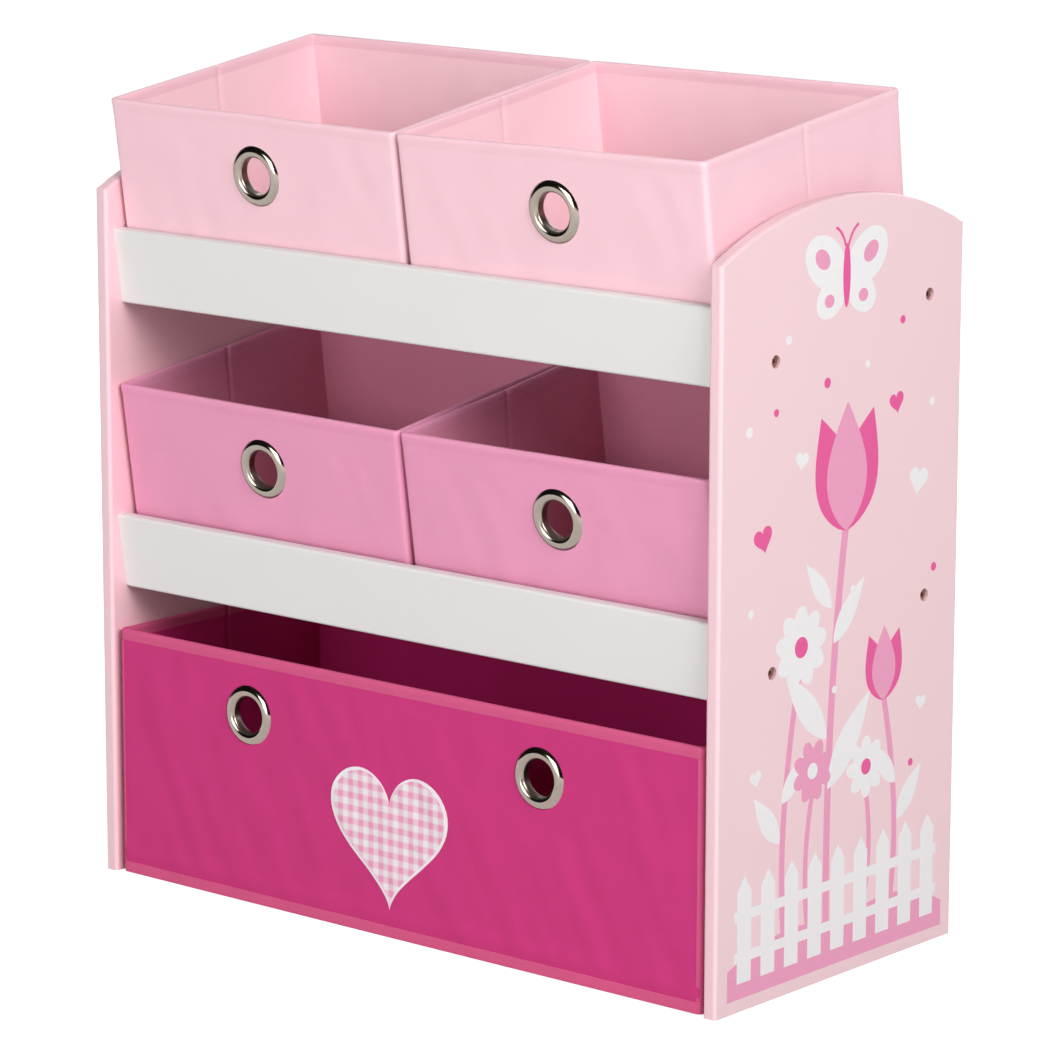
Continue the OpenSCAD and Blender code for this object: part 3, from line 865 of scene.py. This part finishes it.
class TOYSHELF_OT_finish_boards(bpy.types.Operator):
    """Paints the panels, rails and boards and gives the fasteners their metal and wood"""
    bl_idname = "toyshelf.finish_boards"
    bl_label = "Finish Boards"

    def execute(self, context):
        finishes = {
            "left_side_panel": "satin_pink_paint", "right_side_panel": "satin_pink_paint",
            "upper_tray_board": "satin_white_paint", "lower_tray_board": "satin_white_paint",
            "upper_front_rail": "satin_white_paint", "lower_front_rail": "satin_white_paint",
            "side_screws": "screw", "rail_dowels": "beech",
        }
        for name in BOX_NAMES:
            # The base boards take their tier's lining colour, with painted light on the top tier and painted
            # shade on the others
            finishes[f"{name}_base_board"] = f"{name.split('_')[0]}_lining"
        for name, finish in finishes.items():
            for slot in frame["nodes"][name].material_slots:
                slot.material = finish_named(finish)
        return {"FINISHED"}


class TOYSHELF_OT_sew_boxes(bpy.types.Operator):
    """Makes the outer cloth, lining and card boards of each fabric box"""
    bl_idname = "toyshelf.sew_boxes"
    bl_label = "Sew Boxes"

    def execute(self, context):
        for name in BOX_NAMES:
            plan = plan_of(name)
            top = plan.size[2] - HEM_T
            shell = wall_sheet(plan, f"{name}_outer_cloth", plan.cloth, 0.0, FABRIC_T, 0.0, top, True)
            fit(shell, name, f"{plan.tier}_fabric", f"{name}_shell")
            # The lining's colour is painted light in the top boxes and painted shade in the others
            lining = wall_sheet(
                plan, f"{name}_lining_cloth", f"{plan.tier}_lining",
                FABRIC_T + CARD_T, WALL_T, FABRIC_T, top, False)
            fit(lining, name, f"{plan.tier}_lining", f"{name}_lining")
            points, faces = board_slabs(plan)
            boards = new_piece(f"{name}_card_boards", plan.place(plan.soften(points)), faces, ["card"])
            fit(boards, name, "wall_card", f"{name}_wall_boards")
        return {"FINISHED"}


class TOYSHELF_OT_bind_edges(bpy.types.Operator):
    """Folds the hem over each rim and binds the wide box's lower edge and corners"""
    bl_idname = "toyshelf.bind_edges"
    bl_label = "Bind Edges"

    def execute(self, context):
        for name in BOX_NAMES:
            plan = plan_of(name)
            hem = swept_band(plan, f"{name}_folded_hem", hem_profile(plan.size[2]), plan.hem_cloth)
            fit(hem, name, plan.hem_slot, f"{name}_rim_hem")
        plan = plan_of(WIDE)
        foot_tape = swept_band(plan, "wide_box_foot_tape", tape_profile(BINDING_LIFT, BINDING_TOP), "tape")
        fit(foot_tape, WIDE, "wide_binding", "wide_box_bottom_binding")
        upright = tape_profile(BINDING_TOP, plan.size[2] - HEM_H)
        corner_tape = swept_band(plan, "wide_box_corner_tape", upright, "tape", corner_spans)
        fit(corner_tape, WIDE, "wide_binding", "wide_box_corner_piping")
        return {"FINISHED"}


def ring_profile():
    """Closed section of the eyelet as (radius, height over the cloth) in mm: dome, barrel and rolled lip."""
    outer_r, hole_r, rise, sheet, crest_part = 24.25, 15.0, 2.5, 0.8, 0.42
    lip_r, lip_h = 1.2, -5.6
    crest_r = hole_r + (outer_r - hole_r) * crest_part

    def bend(mid_r, mid_h, radius, start, end, steps):
        angles = np.linspace(start, end, steps)
        return [(mid_r + radius * math.cos(a), mid_h + radius * math.sin(a)) for a in angles]

    def dome(inset, steps):
        # A slower arc outside the crest and a tighter one inside it
        points = []
        for side, width in ((1, outer_r - crest_r), (-1, crest_r - hole_r)):
            bend_r = (width ** 2 + rise ** 2) / (2 * rise)
            low = math.asin((bend_r - rise) / (bend_r - inset))
            angles = (low, math.pi / 2) if side > 0 else (math.pi / 2, math.pi - low)
            points += bend(crest_r, rise - bend_r, bend_r - inset, *angles, steps)
        return points

    barrel = [(hole_r, h) for h in (-0.6, -2.2, -4.0)]
    lip = bend(hole_r + lip_r, lip_h, lip_r, math.pi, 2 * math.pi, 8)
    # The lip's inner side, back up to the sheet, as (distance from the bore, height over the lip's middle)
    inside = ((2 * lip_r - 0.1, 0.7), (1.9, 1.0), (1.6, 0.2), (lip_r, -0.3), (sheet, 0.4))
    back = [(hole_r + away, lip_h + over) for away, over in inside]
    return [*dome(0, 14), *barrel, *lip, *back, (hole_r + sheet, -2.0), *reversed(dome(sheet, 6))]


# Faces of the ring's section that lie in its barrel
BARREL_FACES = range(21, 35)

# Section of the flat washer behind the wall, as (radius, height over the cloth) in mm
WASHER_PROFILE = (
    (20.6, -3.6), (15.95, -3.6), (15.95, -4.2), (16.2, -4.4),
    (20.6, -4.4), (20.9, -4.25), (21.0, -4.0), (20.9, -3.75),
)


def turned_ring(plan, profile, turns=96):
    """Points and faces of a closed profile turned about each eyelet's axis."""
    points, faces = [], []
    size = len(profile)
    for cx, cz in plan.eyelets:
        first = len(points)
        for k in range(turns):
            a = 2 * math.pi * k / turns
            points += [
                (cx + r * MM * math.cos(a), HEM_T - h * MM, cz + r * MM * math.sin(a)) for r, h in profile]
        for k in range(turns):
            p, q = first + k * size, first + (k + 1) % turns * size
            faces += [(p + i, q + i, q + (i + 1) % size, p + (i + 1) % size) for i in range(size)]
    return np.array(points), faces


class TOYSHELF_OT_clamp_eyelets(bpy.types.Operator):
    """Turns the domed ring and the washer of each eyelet"""
    bl_idname = "toyshelf.clamp_eyelets"
    bl_label = "Clamp Eyelets"

    def execute(self, context):
        # Stamping leaves the plate duller in the barrel
        parts = (
            ("eyelet_ring", ring_profile(), BARREL_FACES, "eyelet_front"),
            ("eyelet_washer", WASHER_PROFILE, (), "eyelet_back"),
        )
        for name in BOX_NAMES:
            plan = plan_of(name)
            for piece_name, profile, dull, node in parts:
                points, faces = turned_ring(plan, profile)
                sides = [int(k % len(profile) in dull) for k in range(len(faces))]
                ring = new_piece(
                    f"{name}_{piece_name}", plan.place(points), faces, ["nickel", "barrel_nickel"],
                    face_materials=sides, sharp_angle=50)
                fit(ring, name, "eyelet_nickel", f"{name}_{node}")
        return {"FINISHED"}


def stitch_tree():
    """Geometry nodes that lay stitches of thread along every line of a mesh."""
    tree = bpy.data.node_groups.new("stitch_rows", "GeometryNodeTree")
    tree.interface.new_socket("Geometry", in_out="INPUT", socket_type="NodeSocketGeometry")
    for name in ("Pitch", "Stitch Length", "Thread Thickness"):
        tree.interface.new_socket(name, in_out="INPUT", socket_type="NodeSocketFloat")
    tree.interface.new_socket("Thread", in_out="INPUT", socket_type="NodeSocketMaterial")
    tree.interface.new_socket("Geometry", in_out="OUTPUT", socket_type="NodeSocketGeometry")
    given = put(tree, "NodeGroupInput").outputs
    line = put(tree, "GeometryNodeMeshToCurve", {"Mesh": given["Geometry"]})
    points = put(tree, "GeometryNodeResampleCurve", {"Curve": line, "Length": given["Pitch"]}, mode="LENGTH")
    bead = put(tree, "GeometryNodeMeshUVSphere", {"Segments": 6, "Rings": 4, "Radius": 0.5})
    thickness = given["Thread Thickness"]
    size = put(tree, "ShaderNodeCombineXYZ", {"X": thickness, "Y": thickness, "Z": given["Stitch Length"]})
    stitch = put(tree, "GeometryNodeTransform", {"Geometry": bead.outputs["Mesh"], "Scale": size})
    tangent = put(tree, "GeometryNodeInputTangent")
    turn = put(tree, "FunctionNodeAlignRotationToVector", {"Vector": tangent}, axis="Z")
    row = put(tree, "GeometryNodeInstanceOnPoints", {"Points": points, "Instance": stitch, "Rotation": turn})
    solid = put(tree, "GeometryNodeRealizeInstances", {"Geometry": row})
    shaded = put(tree, "GeometryNodeSetShadeSmooth", {"Geometry": solid})
    threaded = put(tree, "GeometryNodeSetMaterial", {"Geometry": shaded, "Material": given["Thread"]})
    put(tree, "NodeGroupOutput", {"Geometry": threaded})
    return tree


def baked(piece):
    """Replaces a piece that has modifiers with a plain mesh of their result."""
    bpy.context.view_layer.update()
    graph = bpy.context.evaluated_depsgraph_get()
    mesh = bpy.data.meshes.new_from_object(piece.evaluated_get(graph))
    name = piece.name
    bpy.data.objects.remove(piece)
    mesh.name = name
    return add_object(name, mesh)


class TOYSHELF_OT_stitch_seams(bpy.types.Operator):
    """Sews a row of stitches along every hem and tape"""
    bl_idname = "toyshelf.stitch_seams"
    bl_label = "Stitch Seams"

    def execute(self, context):
        cloth = context.scene.shelf_cloth
        tree = stitch_tree()
        # How far a thread's middle stands off the cloth, and the hem's thickness where it is sewn
        proud, hem_foot = 0.12 * MM, 0.1 * MM
        for name in BOX_NAMES:
            plan = plan_of(name)
            stations, _ = outline_stations(plan)
            hem_seam = plan.size[2] - HEM_H + 1.4 * MM
            rows = [(-hem_foot - proud, hem_seam), (WALL_T + hem_foot + proud, hem_seam)]
            if name == WIDE:
                rows.append((-HEM_T - proud, BINDING_TOP - 1.6 * MM))
            points, edges = [], []
            for inset, z in rows:
                first = len(points)
                ring = plan.soften(offset_points(stations, inset, z))
                points.extend(plan.place(ring))
                edges += [(first + i, first + (i + 1) % len(ring)) for i in range(len(ring))]
            seams = add_object(f"{name}_stitches", new_mesh(f"{name}_stitches", points, edges, []))
            sewing = seams.modifiers.new("stitches", "NODES")
            sewing.node_group = tree
            values = {
                "Pitch": cloth.stitch_pitch, "Stitch Length": cloth.stitch_length,
                "Thread Thickness": cloth.thread_thickness, "Thread": finish_named(f"{plan.tier}_thread"),
            }
            for socket in tree.interface.items_tree:
                if socket.in_out == "INPUT" and socket.name in values:
                    sewing[socket.identifier] = values[socket.name]
            fit(baked(seams), name, plan.hem_slot)
        return {"FINISHED"}


# Printed pattern on the panels, drawn in mm along the panel and up

def turned(points, cx, cy, degrees):
    """Points turned about zero and then moved to a place."""
    a = math.radians(degrees)
    return [
        (cx + x * math.cos(a) - y * math.sin(a), cy + x * math.sin(a) + y * math.cos(a)) for x, y in points]


def ring_points(cx, cy, rx, ry, turn=0.0, count=40):
    """An ellipse, turned by degrees."""
    angles = [2 * math.pi * k / count for k in range(count)]
    return turned([(rx * math.cos(t), ry * math.sin(t)) for t in angles], cx, cy, turn)


def heart_points(cx, cy, width, turn=0.0, count=64):
    """A heart of that width."""
    scale = width / 32
    points = []
    for k in range(count):
        t = 2 * math.pi * k / count
        x = -16 * math.sin(t) ** 3 * scale
        y = (13 * math.cos(t) - 5 * math.cos(2 * t) - 2 * math.cos(3 * t) - math.cos(4 * t)) * scale
        points.append((x, y))
    return turned(points, cx, cy, turn)


def leaf_points(x0, y0, length, width, turn, count=16):
    """A pointed leaf that starts at a point and grows at an angle in degrees."""
    shares = [k / count for k in range(count + 1)]
    side = [(length * t, width / 2 * math.sin(math.pi * t ** 0.8)) for t in shares]
    back = [(x, -y) for x, y in reversed(side[1:-1])]
    return turned(side + back, x0, y0, turn)


def stem_points(line, width):
    """A strip of even width along a line of points."""
    left, right = [], []
    for i, (x, y) in enumerate(line):
        x0, y0 = line[max(0, i - 1)]
        x1, y1 = line[min(len(line) - 1, i + 1)]
        run = math.hypot(x1 - x0, y1 - y0)
        nx, ny = -(y1 - y0) / run * width / 2, (x1 - x0) / run * width / 2
        left.append((x + nx, y + ny))
        right.append((x - nx, y - ny))
    return right + left[::-1]


def curve_line(start, bend, end, count=14):
    """Points on a simple curve from start to end, drawn towards bend."""
    return [
        tuple((1 - t) ** 2 * s + 2 * t * (1 - t) * b + t * t * e for s, b, e in zip(start, bend, end))
        for t in (k / count for k in range(count + 1))]


def daisy(cx, cy, radius, petals, turn, petal_ink, heart_ink, level):
    """Shapes of a round flower: petals, each at a height of its own, then its middle."""
    shapes = []
    for k in range(petals):
        a = turn + 360 * k / petals
        x = cx + radius * 0.6 * math.cos(math.radians(a))
        y = cy + radius * 0.6 * math.sin(math.radians(a))
        height = level + 0.004 * (k % 2) + 0.002 * k
        shapes.append((petal_ink, height, ring_points(x, y, radius * 0.42, radius * 0.27, a, 28)))
    shapes.append((heart_ink, level + 0.06, ring_points(cx, cy, radius * 0.26, radius * 0.26, 0, 32)))
    return shapes


def tulip(cx, cy, width, ink, fold_ink, level):
    """Shapes of a tulip head that stands on a point."""
    side = width / 2
    tall = width * 1.12
    left = leaf_points(cx, cy, tall * 1.02, side * 1.15, 90 + 20)
    right = leaf_points(cx, cy, tall * 1.02, side * 1.15, 90 - 20)
    middle = leaf_points(cx, cy, tall * 1.05, side * 1.2, 90)
    return [(ink, level, left), (ink, level + 0.005, right), (fold_ink, level + 0.02, middle)]


def panel_shapes():
    """Every printed shape as (ink, height over the paint in mm, outline)."""
    hill = curve_line((-136, 34), (-60, 64), (6, 40)) + curve_line((6, 40), (70, 66), (136, 30))[1:]
    shapes = [("mid_ink", 0.05, [(-136, 10), *hill, (136, 10)])]
    stems = (
        ((-14, 30), (-20, 200), (4, 352), 8.0), ((-66, 36), (-80, 120), (-53, 242), 6.5),
        ((66, 38), (82, 110), (55, 211), 6.5), ((30, 40), (46, 90), (34, 140), 5.5),
        ((-36, 38), (-48, 90), (-34, 150), 5.5),
    )
    shapes += [("mid_ink", 0.07, stem_points(curve_line(*line), width)) for *line, width in stems]
    leaves = (
        (-15, 150, 86, 25, 52), (-17, 190, 78, 23, 132), (-10, 262, 60, 18, 50), (-13, 290, 50, 16, 130),
        (-74, 120, 52, 18, 128), (-72, 150, 46, 16, 48), (75, 108, 50, 17, 52), (72, 138, 46, 16, 130),
    )
    shapes += [("white_ink", 0.09, leaf_points(*leaf)) for leaf in leaves]
    # White fence in front of the flowers
    for x in range(-116, 117, 29):
        picket = [(x - 8.5, 22), (x + 8.5, 22), (x + 8.5, 92), (x, 104), (x - 8.5, 92)]
        shapes.append(("white_ink", 0.115, picket))
    for z in (42, 74):
        shapes.append(("white_ink", 0.105, [(-128, z - 4), (128, z - 4), (128, z + 4), (-128, z + 4)]))
    shapes += tulip(4, 346, 84, "hot_ink", "mid_ink", 0.13)
    shapes += daisy(-50, 266, 31, 9, 10, "white_ink", "hot_ink", 0.13)
    shapes += tulip(55, 206, 50, "hot_ink", "mid_ink", 0.13)
    shapes += daisy(34, 158, 24, 8, 0, "white_ink", "hot_ink", 0.15)
    shapes += daisy(-34, 168, 24, 8, 20, "mid_ink", "white_ink", 0.15)
    hearts = (
        (-98, 356, 22, 14, "hot_ink"), (96, 372, 24, -12, "white_ink"), (-52, 408, 16, -10, "white_ink"),
        (66, 436, 18, 10, "hot_ink"), (104, 196, 13, -8, "white_ink"), (-104, 176, 14, 10, "white_ink"),
    )
    shapes += [(ink, 0.13, heart_points(*heart)) for *heart, ink in hearts]
    # Butterfly
    for side in (-1, 1):
        shapes.append(("white_ink", 0.13, ring_points(side * 26, 552, 27, 19, side * 32, 40)))
        shapes.append(("white_ink", 0.135, ring_points(side * 19, 525, 19, 14, side * -30, 36)))
        shapes.append(("mid_ink", 0.15, ring_points(side * 30, 555, 10, 7, side * 32, 28)))
        shapes.append(("mid_ink", 0.15, ring_points(side * 21, 523, 6, 5, 0, 24)))
        feeler = curve_line((side * 1.5, 562), (side * 6, 574), (side * 14, 577), 8)
        shapes.append(("hot_ink", 0.145, stem_points(feeler, 2.2)))
    shapes.append(("hot_ink", 0.16, ring_points(0, 540, 4.6, 24, 0, 32)))
    dots = (
        (-116, 438, 4, "white_ink"), (-84, 448, 3, "hot_ink"), (112, 430, 3.4, "white_ink"),
        (28, 470, 3, "white_ink"), (-22, 462, 4, "hot_ink"), (118, 300, 3.4, "hot_ink"),
        (-112, 302, 3.4, "white_ink"), (-70, 500, 3.6, "white_ink"), (72, 498, 3.2, "hot_ink"),
        (92, 150, 3, "hot_ink"), (-8, 226, 3, "white_ink"), (14, 300, 3, "white_ink"),
    )
    shapes += [(ink, 0.13, ring_points(x, y, r, r, 0, 20)) for x, y, r, ink in dots]
    return shapes


def prism(outline, first, place, thickness):
    """Points and faces of a thin closed slab with that outline, which starts a little inside the paint."""
    area = sum(x0 * y1 - x1 * y0 for (x0, y0), (x1, y1) in zip(outline, outline[1:] + outline[:1]))
    if area < 0:
        outline = outline[::-1]
    n = len(outline)
    points = [place(x, y, d) for d in (-PRINT_SINK, thickness) for x, y in outline]
    faces = [tuple(range(n, 2 * n)), tuple(reversed(range(n)))]
    faces += [(i, (i + 1) % n, n + (i + 1) % n, n + i) for i in range(n)]
    return points, shifted(faces, first)


class TOYSHELF_OT_print_panels(bpy.types.Operator):
    """Prints flowers, a fence and a butterfly on the outer face of both panels"""
    bl_idname = "toyshelf.print_panels"
    bl_label = "Print Panels"

    def execute(self, context):
        inks = ["white_ink", "hot_ink", "mid_ink"]
        for side, node in ((1, "right_side_panel"), (-1, "left_side_panel")):
            low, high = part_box(node)
            face = high.x if side > 0 else low.x
            points, faces, ink_of = [], [], []
            for ink, level, outline in panel_shapes():
                # Seen from outside, the pattern reads the same on both panels
                slab_points, slab_faces = prism(
                    outline, len(points),
                    lambda u, z, d: (face + side * d, side * u * MM, z * MM), level * MM)
                points += slab_points
                faces += slab_faces
                ink_of += [inks.index(ink)] * len(slab_faces)
            piece = new_piece(f"{node}_print", points, faces, inks, face_materials=ink_of)
            fit(piece, "frame", "panel_paint")
        return {"FINISHED"}


def heart_layer(cx, cz, width, proud):
    """Points and faces of a flat heart on the wide box's front, in rings so that it follows the cloth."""
    rings = 26
    outline = np.array(heart_points(cx, cz, width, 0, 96))
    centre = np.array([cx, cz])
    n = len(outline)
    points, faces = [], []
    for depth in (HEM_T - proud * MM, HEM_T + 0.15 * MM):
        points.append((cx * MM, depth, cz * MM))
        for k in range(1, rings + 1):
            points += [(x * MM, depth, z * MM) for x, z in centre + (outline - centre) * k / rings]
    size = 1 + rings * n
    rim = 1 + (rings - 1) * n
    for i in range(n):
        j = (i + 1) % n
        front = [(0, 1 + i, 1 + j)]
        front += [(a + i, a + n + i, a + n + j, a + j) for a in range(1, rim, n)]
        faces += front + shifted(turned_over(front), size)
        faces.append((rim + i, size + rim + i, size + rim + j, rim + j))
    return points, faces


class TOYSHELF_OT_sew_heart(bpy.types.Operator):
    """Sews a checked cotton heart with a white border on the front of the wide box"""
    bl_idname = "toyshelf.sew_heart"
    bl_label = "Sew Heart"

    def execute(self, context):
        plan = plan_of(WIDE)
        across = sum(x for x, _ in plan.eyelets) / len(plan.eyelets) / MM
        up = 88
        # Width and height over the cloth in mm, and finish
        layers = ((122, 0.25, "white_ink"), (116, 0.45, "gingham"))
        points, faces, cloth_of = [], [], []
        for index, (width, proud, _) in enumerate(layers):
            layer_points, layer_faces = heart_layer(across, up, width, proud)
            faces += shifted(layer_faces, len(points))
            points += layer_points
            cloth_of += [index] * len(layer_faces)
        placed = plan.place(plan.soften(np.array(points)))
        finishes = [finish for *_, finish in layers]
        fit(new_piece(f"{WIDE}_heart", placed, faces, finishes, face_materials=cloth_of), WIDE, "wide_fabric")
        return {"FINISHED"}


# Stage

def direction(azimuth, elevation):
    """Unit vector from the shelf, in degrees round to the right from its front and up."""
    a, e = math.radians(azimuth), math.radians(elevation)
    return Vector((math.sin(a) * math.cos(e), -math.cos(a) * math.cos(e), math.sin(e)))


def seen_directly(tree):
    """One where a thing is seen directly, in a reflection or through a clear piece, and else zero."""
    path = put(tree, "ShaderNodeLightPath").outputs
    seen = path["Is Camera Ray"]
    for ray in ("Is Glossy Ray", "Is Transmission Ray"):
        seen = put(tree, "ShaderNodeMath", {0: seen, 1: path[ray]}, operation="MAXIMUM")
    return seen


def stage_card(name, corners, material):
    """A flat four-cornered card that isn't part of the shelf."""
    card = add_object(name, new_mesh(name, corners, [], [(0, 1, 2, 3)]))
    card.data.materials.append(material)
    return card


class TOYSHELF_OT_set_stage(bpy.types.Operator):
    """Places the camera, the lamps, the floor and the reflection cards"""
    bl_idname = "toyshelf.set_stage"
    bl_label = "Set Stage"

    def execute(self, context):
        scene = context.scene
        stage = scene.shelf_stage
        self.set_camera(scene, stage)
        self.set_world(scene, stage)
        self.set_floor()
        self.set_cards()
        self.set_lamps(stage)
        scene.view_settings.view_transform = "Standard"
        return {"FINISHED"}

    def set_camera(self, scene, stage):
        """The camera that the photograph was taken with."""
        yaw, pitch, roll = stage.camera_yaw, stage.camera_pitch, stage.camera_roll
        ahead = Vector((
            -math.sin(yaw) * math.cos(pitch), math.cos(yaw) * math.cos(pitch), -math.sin(pitch)))
        right = Vector((math.cos(yaw), math.sin(yaw), 0))
        up = right.cross(ahead)
        rolled_right = math.cos(roll) * right + math.sin(roll) * up
        rolled_up = math.cos(roll) * up - math.sin(roll) * right
        data = bpy.data.cameras.new("photo_camera")
        data.lens = stage.lens
        data.sensor_width = 36
        data.clip_end = 100
        camera = add_object("photo_camera", data)
        turn = Matrix((rolled_right, rolled_up, -ahead)).transposed().to_4x4()
        camera.matrix_world = Matrix.Translation(Vector(stage.camera_place)) @ turn
        scene.camera = camera

    def set_world(self, scene, stage):
        """Even white light, and a white backdrop for the camera and in reflections."""
        world = bpy.data.worlds.new("white_studio")
        scene.world = world
        world.use_nodes = True
        tree = world.node_tree
        tree.nodes.clear()
        strength = put(tree, "ShaderNodeMapRange", {
            "Value": seen_directly(tree), "To Min": stage.world_light, "To Max": 1.0})
        light = put(tree, "ShaderNodeBackground", {"Color": (1, 1, 1, 1), "Strength": strength})
        put(tree, "ShaderNodeOutputWorld", {"Surface": light})

    def set_floor(self):
        """A white floor that keeps the shelf's shadow."""
        material, tree, place = new_material("white_studio_floor")
        # The floor is lifted to white away from the shelf, and less so in the shelf's soft shadow
        far = put(tree, "ShaderNodeVectorMath", {0: place}, operation="LENGTH")
        white = put(tree, "ShaderNodeMapRange", {
            "Value": far, "From Min": 0.5, "From Max": 1.6, "To Min": 0.81, "To Max": 1.0},
            interpolation_type="SMOOTHSTEP")
        lift = put(tree, "ShaderNodeMath", {0: seen_directly(tree), 1: white}, operation="MULTIPLY")
        grain = put(tree, "ShaderNodeTexNoise", {"Vector": place, "Scale": 40.0, "Detail": 2.0})
        tone = put(tree, "ShaderNodeMix", {
            "Factor": grain, "A": (0.5, 0.5, 0.5, 1), "B": (0.52, 0.52, 0.52, 1)}, data_type="RGBA")
        close_material(material, {
            "Base Color": tone, "Roughness": 1.0, "Specular IOR Level": 0.0,
            "Emission Color": (1, 1, 1, 1), "Emission Strength": lift})
        half, drop = 40.0, -0.2 * MM
        stage_card("white_floor", [
            (-half, -half, drop), (half, -half, drop), (half, half, drop), (-half, half, drop)], material)

    def set_cards(self):
        """Dark studio walls and ceiling, which only show in the nickel, so that its edges read as metal."""
        felt = speckled(
            "dark_studio_card", (0.015, 0.014, 0.013, 1), (0.03, 0.027, 0.025, 1), 5.0, 2.0,
            {"Roughness": 1.0})
        for name, azimuth, elevation, far, wide, tall in (
            ("dark_wall_left", -60, 0, 5.5, 6.4, 5.4),
            ("dark_wall_front", 0, 0, 5.5, 6.4, 5.4),
            ("dark_wall_right", 60, 0, 5.5, 6.4, 5.4),
            ("dark_ceiling", 0, 90, 2.7, 12.8, 12.8),
        ):
            back = direction(azimuth, elevation)
            across = Vector((math.cos(math.radians(azimuth)), math.sin(math.radians(azimuth)), 0))
            up = back.cross(across)
            middle = SHELF_MIDDLE + back * far
            card = stage_card(name, [
                middle + across * (i * wide / 2) + up * (j * tall / 2)
                for i, j in ((-1, -1), (1, -1), (1, 1), (-1, 1))], felt)
            card.visible_camera = False
            card.visible_diffuse = False
            card.visible_shadow = False
            card.visible_transmission = False

    def set_lamps(self, stage):
        """Four large soft lamps: in front, on the right, behind and on the left."""
        far = 3.6
        for name, azimuth, elevation, power in (
            ("front_lamp", 0, 10, stage.front_power),
            ("right_lamp", 70, 30, stage.right_power),
            ("rear_lamp", 190, 35, stage.rear_power),
            ("left_lamp", 240, 30, stage.rear_power / 2),
        ):
            data = bpy.data.lights.new(name, "AREA")
            data.shape = "SQUARE"
            data.size = 2.0
            data.energy = power
            lamp = add_object(name, data)
            back = direction(azimuth, elevation)
            lamp.location = SHELF_MIDDLE + back * far
            lamp.rotation_mode = "QUATERNION"
            lamp.rotation_quaternion = (-back).to_track_quat("-Z", "Y")


class TOYSHELF_PT_panel(bpy.types.Panel):
    """Lists the steps that dress the shelf"""
    bl_idname = "TOYSHELF_PT_panel"
    bl_label = "Toy Shelf"
    bl_space_type = "VIEW_3D"
    bl_region_type = "UI"
    bl_category = "Toy Shelf"

    def draw(self, context):
        for group in GROUPS:
            settings = getattr(context.scene, group)
            column = self.layout.column()
            for name in settings.__annotations__:
                column.prop(settings, name)
        for operator in OPERATORS:
            self.layout.operator(operator.bl_idname)


OPERATORS = (
    TOYSHELF_OT_set_stage,
    TOYSHELF_OT_finish_boards,
    TOYSHELF_OT_sew_boxes,
    TOYSHELF_OT_bind_edges,
    TOYSHELF_OT_clamp_eyelets,
    TOYSHELF_OT_stitch_seams,
    TOYSHELF_OT_print_panels,
    TOYSHELF_OT_sew_heart,
)
GROUPS = {"shelf_colours": ShelfColours, "shelf_cloth": ShelfCloth, "shelf_stage": ShelfStage}


def register():
    for name, group in GROUPS.items():
        bpy.utils.register_class(group)
        setattr(bpy.types.Scene, name, bpy.props.PointerProperty(type=group))
    for operator in OPERATORS:
        bpy.utils.register_class(operator)
    bpy.utils.register_class(TOYSHELF_PT_panel)


def unregister():
    bpy.utils.unregister_class(TOYSHELF_PT_panel)
    for operator in reversed(OPERATORS):
        bpy.utils.unregister_class(operator)
    for name, group in GROUPS.items():
        delattr(bpy.types.Scene, name)
        bpy.utils.unregister_class(group)


def main():
    register()
    bpy.ops.toyshelf.set_stage()
    bpy.ops.toyshelf.finish_boards()
    bpy.ops.toyshelf.sew_boxes()
    bpy.ops.toyshelf.bind_edges()
    bpy.ops.toyshelf.clamp_eyelets()
    bpy.ops.toyshelf.stitch_seams()
    bpy.ops.toyshelf.print_panels()
    bpy.ops.toyshelf.sew_heart()


if __name__ == "__main__":
    main()
